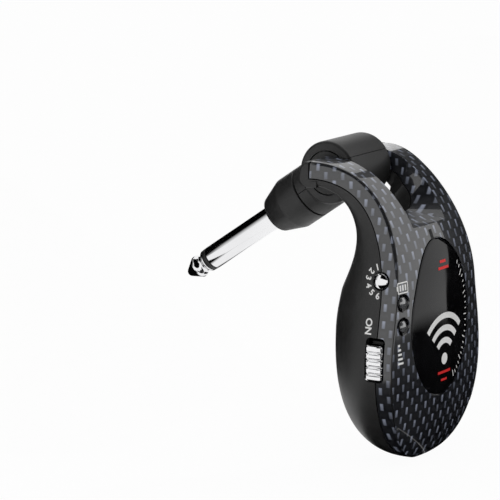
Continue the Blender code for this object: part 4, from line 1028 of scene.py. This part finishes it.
def face_outwards(obj):
    """Flips a skin whose faces look into the casing."""
    if read(obj.data.polygons, "normal", 3).mean(0) @ OUT < 0:
        obj.data.flip_normals()
    return obj


def band(name, surface, inner, outer, start, end, centre, mat):
    """Part of a ring: radius from inner to outer, angle from start to end, about a centre."""
    a = np.linspace(start, end, 40)[:, None]
    r = np.linspace(inner, outer, 4)[None, :] * MM
    points = surface(centre[0] * MM + r * np.cos(a), centre[1] * MM + r * np.sin(a))
    return face_outwards(sheet(name, points, mat))


def strip(name, surface, start, end, width, mat, steps=24):
    """A straight stroke from one flat point to another."""
    start, end = np.array(start) * MM, np.array(end) * MM
    beside = np.array([-(end - start)[1], (end - start)[0]]) / np.linalg.norm(end - start)
    t = np.linspace(0, 1, steps)[:, None, None]
    w = np.linspace(-width / 2, width / 2, 4)[None, :, None] * MM
    flat = start + t * (end - start) + w * beside
    return face_outwards(sheet(name, surface(flat[..., 0], flat[..., 1]), mat))


def lettering(name, text, size, surface, centre, turn, mat):
    """Plain letters made a flat mesh, turned, and laid on a surface."""
    curve = bpy.data.curves.new(name, "FONT")
    curve.body, curve.size, curve.align_x, curve.align_y = text, size * MM, "CENTER", "CENTER"
    curve.resolution_u, curve.offset = 6, BOLDER * size * MM
    written = placed(name, curve)
    mesh = bpy.data.meshes.new_from_object(written.evaluated_get(bpy.context.evaluated_depsgraph_get()))
    bpy.data.objects.remove(written)
    u, v = read(mesh.vertices, "co", 3)[:, :2].T
    c, s = math.cos(turn), math.sin(turn)
    points = surface(centre[0] * MM + c * u - s * v, centre[1] * MM + s * u + c * v)
    mesh.vertices.foreach_set("co", points.ravel())
    mesh.update()
    mesh.materials.clear()
    mesh.materials.append(mat)
    return face_outwards(placed(name, mesh))


def join_marks(name, parts):
    """Several marks of one colour as one piece on the casing."""
    bm = bmesh.new()
    for part in parts:
        bm.from_mesh(part.data)
    mesh = bpy.data.meshes.new(name)
    bm.to_mesh(mesh)
    bm.free()
    mesh.materials.append(parts[0].data.materials[0])
    for part in parts:
        bpy.data.objects.remove(part)
    dress(placed(name, mesh), "casing", "matte_black_plastic")


# %% [markdown]
# The marks themselves are generic: plain numbers round the channel button, ON beside the switch, and a battery
# sign and level bars beside the lights. Marks of one kind are joined, so that each sign is one piece.

# %% Marks on the flank
NUMBER_RADIUS, NUMBER_START, NUMBER_STEP = 3.75, 112, 30
numbers = []
for i in range(6):
    angle = math.radians(NUMBER_START + NUMBER_STEP * i)
    middle_y, middle_z = -CONTROL_Y / MM, -BUTTON_DROP / MM
    centre = (middle_y + NUMBER_RADIUS * math.cos(angle), middle_z + NUMBER_RADIUS * math.sin(angle))
    turn = angle + math.pi / 2
    numbers.append(lettering(f"number_{i + 1}", str(i + 1), 2.2, on_flank, centre, turn, print_white))
join_marks("channel_numbers", numbers)
on_mark = lettering("on_mark", "ON", 2.6, on_flank, (19.7, -35.1), -math.pi / 2, print_white)
dress(on_mark, "casing", "matte_black_plastic")

# %% Marks on the face
BATTERY_SIGN = np.array([-17.6, -25.6])
LEVEL_LEFT, LEVEL_TOP, LEVEL_PITCH, LEVEL_SHORT, LEVEL_GROWTH = -20.0, -39.6, 1.15, 0.8, 0.35
case = [(-1.9, -1.15), (1.9, -1.15), (1.9, 1.15), (-1.9, 1.15)]
strokes = [(case[i], case[(i + 1) % 4], 0.3) for i in range(4)]
strokes += [((-2.2, -0.5), (-2.2, 0.5), 0.4)]
strokes += [((fill, -0.65), (fill, 0.65), 0.6) for fill in (-1.0, 0.0, 1.0)]
battery = [
    strip(f"battery_{i}", on_face, BATTERY_SIGN + start, BATTERY_SIGN + end, width, print_white, 6)
    for i, (start, end, width) in enumerate(strokes)
]
join_marks("battery_sign", battery)
levels = []
for i in range(5):
    start = np.array([LEVEL_LEFT, LEVEL_TOP - LEVEL_PITCH * i])
    end = start + [LEVEL_SHORT + LEVEL_GROWTH * i, 0]
    levels.append(strip(f"level_{i}", on_face, start, end, 0.55, print_white, 6))
join_marks("level_sign", levels)
# The slot near the top of the face is not cut: a flat black strip paints the shade in its opening.
slot_painted_shade = strip("top_slot_shade", on_face, (-1.2, -15.2), (-1.2, -17.3), 1.3, painted_shade_black, 8)
dress(slot_painted_shade, "casing", "matte_black_plastic")

# %% [markdown]
# The plate carries a plain signal sign, a row of ticks along its right edge, every fourth of them longer, and
# a few red strokes above and below.

# %% Plate design
SIGNAL, WAVE_WIDTH, WAVE_END = (1.0, -46.5), 1.5, 0.75
TICK_INNER, LONG_TICK_INNER, TICK_OUTER = 0.88, 0.83, 0.93
signs = [band("dot", on_plate, 0.02, WAVE_WIDTH, 0, 2 * math.pi, SIGNAL, print_white)]
for i, radius in enumerate((4.0, 7.2, 10.4)):
    ends = (WAVE_END, math.pi - WAVE_END)
    signs.append(band(f"wave_{i}", on_plate, radius, radius + WAVE_WIDTH, *ends, SIGNAL, print_white))
plate_middle = np.array([0, -PLATE_DROP]) / MM
for i, angle in enumerate(np.radians(np.linspace(-62, 48, 23))):
    reach = np.array([PLATE_WIDTH * math.cos(angle), PLATE_HEIGHT * math.sin(angle)]) / 2 / MM
    start = plate_middle + reach * (TICK_INNER if i % 4 else LONG_TICK_INNER)
    signs.append(strip(f"tick_{i}", on_plate, start, plate_middle + reach * TICK_OUTER, 0.28, print_white, 4))
join_marks("plate_signal", signs)
red_strokes = [(-49.9, 3.2, 0.7), (-22.4, 1.5, 0.6), (-23.8, 2.6, 0.6), (-51.9, 1.5, 0.6)]
red = [
    strip(f"red_{i}", on_plate, (1 - reach, height), (1 + reach, height), width, print_red)
    for i, (height, reach, width) in enumerate(red_strokes)
]
join_marks("plate_strokes", red)

# %% [markdown]
# The pieces inside, the pins and the charging socket stay as their solids. They only need their finishes,
# which the record names for every node.

# %% Finishes of the other nodes
slots = {entry["node"]: entry["material_slot"] for entry in frame["record"]["subparts"]}
for name, node in frame["nodes"].items():
    for holder in node.material_slots:
        holder.link = "OBJECT"
        holder.material = FINISHES[slots[name]]
print("nodes with finishes:", len(slots))

# %% [markdown]
# The object stands in a plain white studio. The world lights it evenly from all round, and one soft box
# overhead adds a gentle shade below. The background is white without more light on the object: rays that come
# from the camera, from a mirror-like surface or through glass see a white of strength 1 instead of the
# world's own light.

# %% Studio light
SURROUND, BOX_SIZE, BOX_RADIANCE = 0.65, 0.6, 1.0
BOX_OFFSET = np.array([-0.15, -0.1, 0.7])
middle = HINGE + np.array([0, -15, -25]) * MM


def sees_background(tree):
    """1 for rays from the camera, from a mirror-like surface or through glass."""
    path = tree.nodes.new("ShaderNodeLightPath")
    direct = maths(tree, "MAXIMUM", path.outputs["Is Camera Ray"], path.outputs["Is Glossy Ray"])
    return maths(tree, "MAXIMUM", direct, path.outputs["Is Transmission Ray"])


def mix_shaders(tree, mask, first, second, output):
    """Sends a mix of two shaders, by a mask, to the output node."""
    mix = tree.nodes.new("ShaderNodeMixShader")
    for socket, source in zip(mix.inputs, (mask, first.outputs[0], second.outputs[0])):
        tree.links.new(source, socket)
    tree.links.new(mix.outputs[0], tree.nodes[output].inputs["Surface"])


world = bpy.data.worlds.new("studio")
bpy.context.scene.world = world
world.use_nodes = True
tree = world.node_tree
surround, white = tree.nodes["Background"], tree.nodes.new("ShaderNodeBackground")
for light, strength in ((surround, SURROUND), (white, 1.0)):
    light.inputs["Color"].default_value = (1, 1, 1, 1)
    light.inputs["Strength"].default_value = strength
mix_shaders(tree, sees_background(tree), surround, white, "World Output")
soft_box = bpy.data.lights.new("overhead", "AREA")
soft_box.shape, soft_box.size, soft_box.size_y = "RECTANGLE", BOX_SIZE, BOX_SIZE
soft_box.energy = BOX_RADIANCE * math.pi * BOX_SIZE**2
lamp = placed("overhead", soft_box)
stand(lamp, middle + BOX_OFFSET, BOX_OFFSET, (0, 0, 1))
lamp.visible_camera = lamp.visible_glossy = False
print("soft box power in W:", round(soft_box.energy, 2))

# %% [markdown]
# The floor is a pale sheet below the object. To the same rays its material shows that white with a little of
# its own lit surface, so it melts into the background and still keeps the object's soft shadow.

# %% Floor
FLOOR_HALF, FLOOR_WHITE = 3.0, 0.96
floor_z = cad_low[2] - 0.5 * MM
pale = finish("floor_pale", (0.8, 0.8, 0.8), 0.6, 0.02, 0.02, 0)
tree = pale.node_tree
glow = tree.nodes.new("ShaderNodeEmission")
mask = maths(tree, "MULTIPLY", sees_background(tree), FLOOR_WHITE)
mix_shaders(tree, mask, tree.nodes["Principled BSDF"], glow, "Material Output")
edge = np.linspace(-FLOOR_HALF, FLOOR_HALF, 7)
floor = sheet("floor", np.stack([*np.meshgrid(edge, edge), np.full((7, 7), floor_z)], -1), pale)
print("floor height in mm:", round(floor_z / MM, 1))

# %% [markdown]
# Gloss black shows little but what it reflects, and in the picture parts of the face, the flank and the plug
# reflect something dark. Photographers hang dark cloths for this. Here dark sheets stand round the object at
# the bearings which those surfaces mirror. Only reflections see them, so they cast no shadow and hide nothing.

# %% Dark sheets
REACH = 0.9
DARK = (0.002, 0.002, 0.002, 1)
screen_black = bpy.data.materials.new("screen_black")
screen_black.use_nodes = True
tree = screen_black.node_tree
shader = tree.nodes["Principled BSDF"]
shader.inputs["Base Color"].default_value = DARK
shader.inputs["Specular IOR Level"].default_value = 0.0
cover = tree.nodes.new("ShaderNodeAttribute")
cover.attribute_name = "cover"
path = tree.nodes.new("ShaderNodeLightPath")
seen = maths(tree, "MULTIPLY", path.outputs["Is Glossy Ray"], cover.outputs["Fac"])
tree.links.new(seen, shader.inputs["Alpha"])


def screen(name, bearing, height, reach=REACH, cover=1.0):
    """A dark sheet at a reach, on a grid of bearings from the front and heights in degrees; cover fades it."""
    bearing, height = np.radians(bearing), np.radians(height)
    across = reach * np.cos(height)
    parts = np.broadcast_arrays(np.sin(bearing) * across, -np.cos(bearing) * across, reach * np.sin(height))
    made = sheet(name, np.stack(parts, -1) + middle, screen_black)
    values = np.broadcast_to(cover, parts[0].shape).astype(np.float32).ravel()
    made.data.attributes.new("cover", "FLOAT", "POINT").data.foreach_set("value", values)
    print(name, len(made.data.polygons), "faces")


share = np.linspace(0, 1, 41)[:, None]
height = np.linspace(-4, 45, 40)[None, :]
start = np.interp(height, [-4, 20, 28, 36], [62, 66, 70, 88])
end = np.interp(height, [-4, 17, 29, 31.5, 45], [118, 112, 112, 99, 94])
screen("screen_right", start + share * (end - start), height)
fade_out = np.clip((1 - share) / 0.25, 0, 1)
screen("screen_back", 140 + 92 * share, np.linspace(-4, 38, 20)[None, :], cover=fade_out)
screen("screen_above", 170 + 205 * share, np.linspace(45, 88, 20)[None, :])
screen("screen_front", 248 + 127 * share, np.linspace(12, 45, 20)[None, :])

# %% [markdown]
# A dark mat on the floor does the same for the surfaces that look down. It reaches far out below the right and
# back sheets and leaves a bright gap on either side of the back one. Elsewhere it ends in a soft edge near the
# object.

# %% Dark mat
FAR, NEAR, CLOSE, SOFT, BACK_START = 0.9, 0.2, 0.105, 0.15, 0.07
bearing = np.linspace(0.57, 359.43, 361)[:, None]
inward = np.linspace(0.02, 1, 60)[None, :]


def between(low, high):
    """The bearings from low to high, as a mask."""
    return (bearing > low) & (bearing < high)


to_right, to_back, to_flank = between(60.3, 116), between(140, 214), between(238, 320)
beside_back = between(116, 238) & ~to_back
length = inward * np.select([to_right | to_back, to_flank], [FAR, CLOSE], NEAR)
soft_rim = np.clip((1 - inward) / SOFT, 0, 1)
cover = np.select([to_right, to_back, beside_back], [1.0, length > BACK_START, 0.0], soft_rim)
drop = middle[2] - floor_z - 0.2 * MM
screen("dark_mat", bearing, -np.degrees(np.arctan2(drop, length)), np.hypot(drop, length), cover)
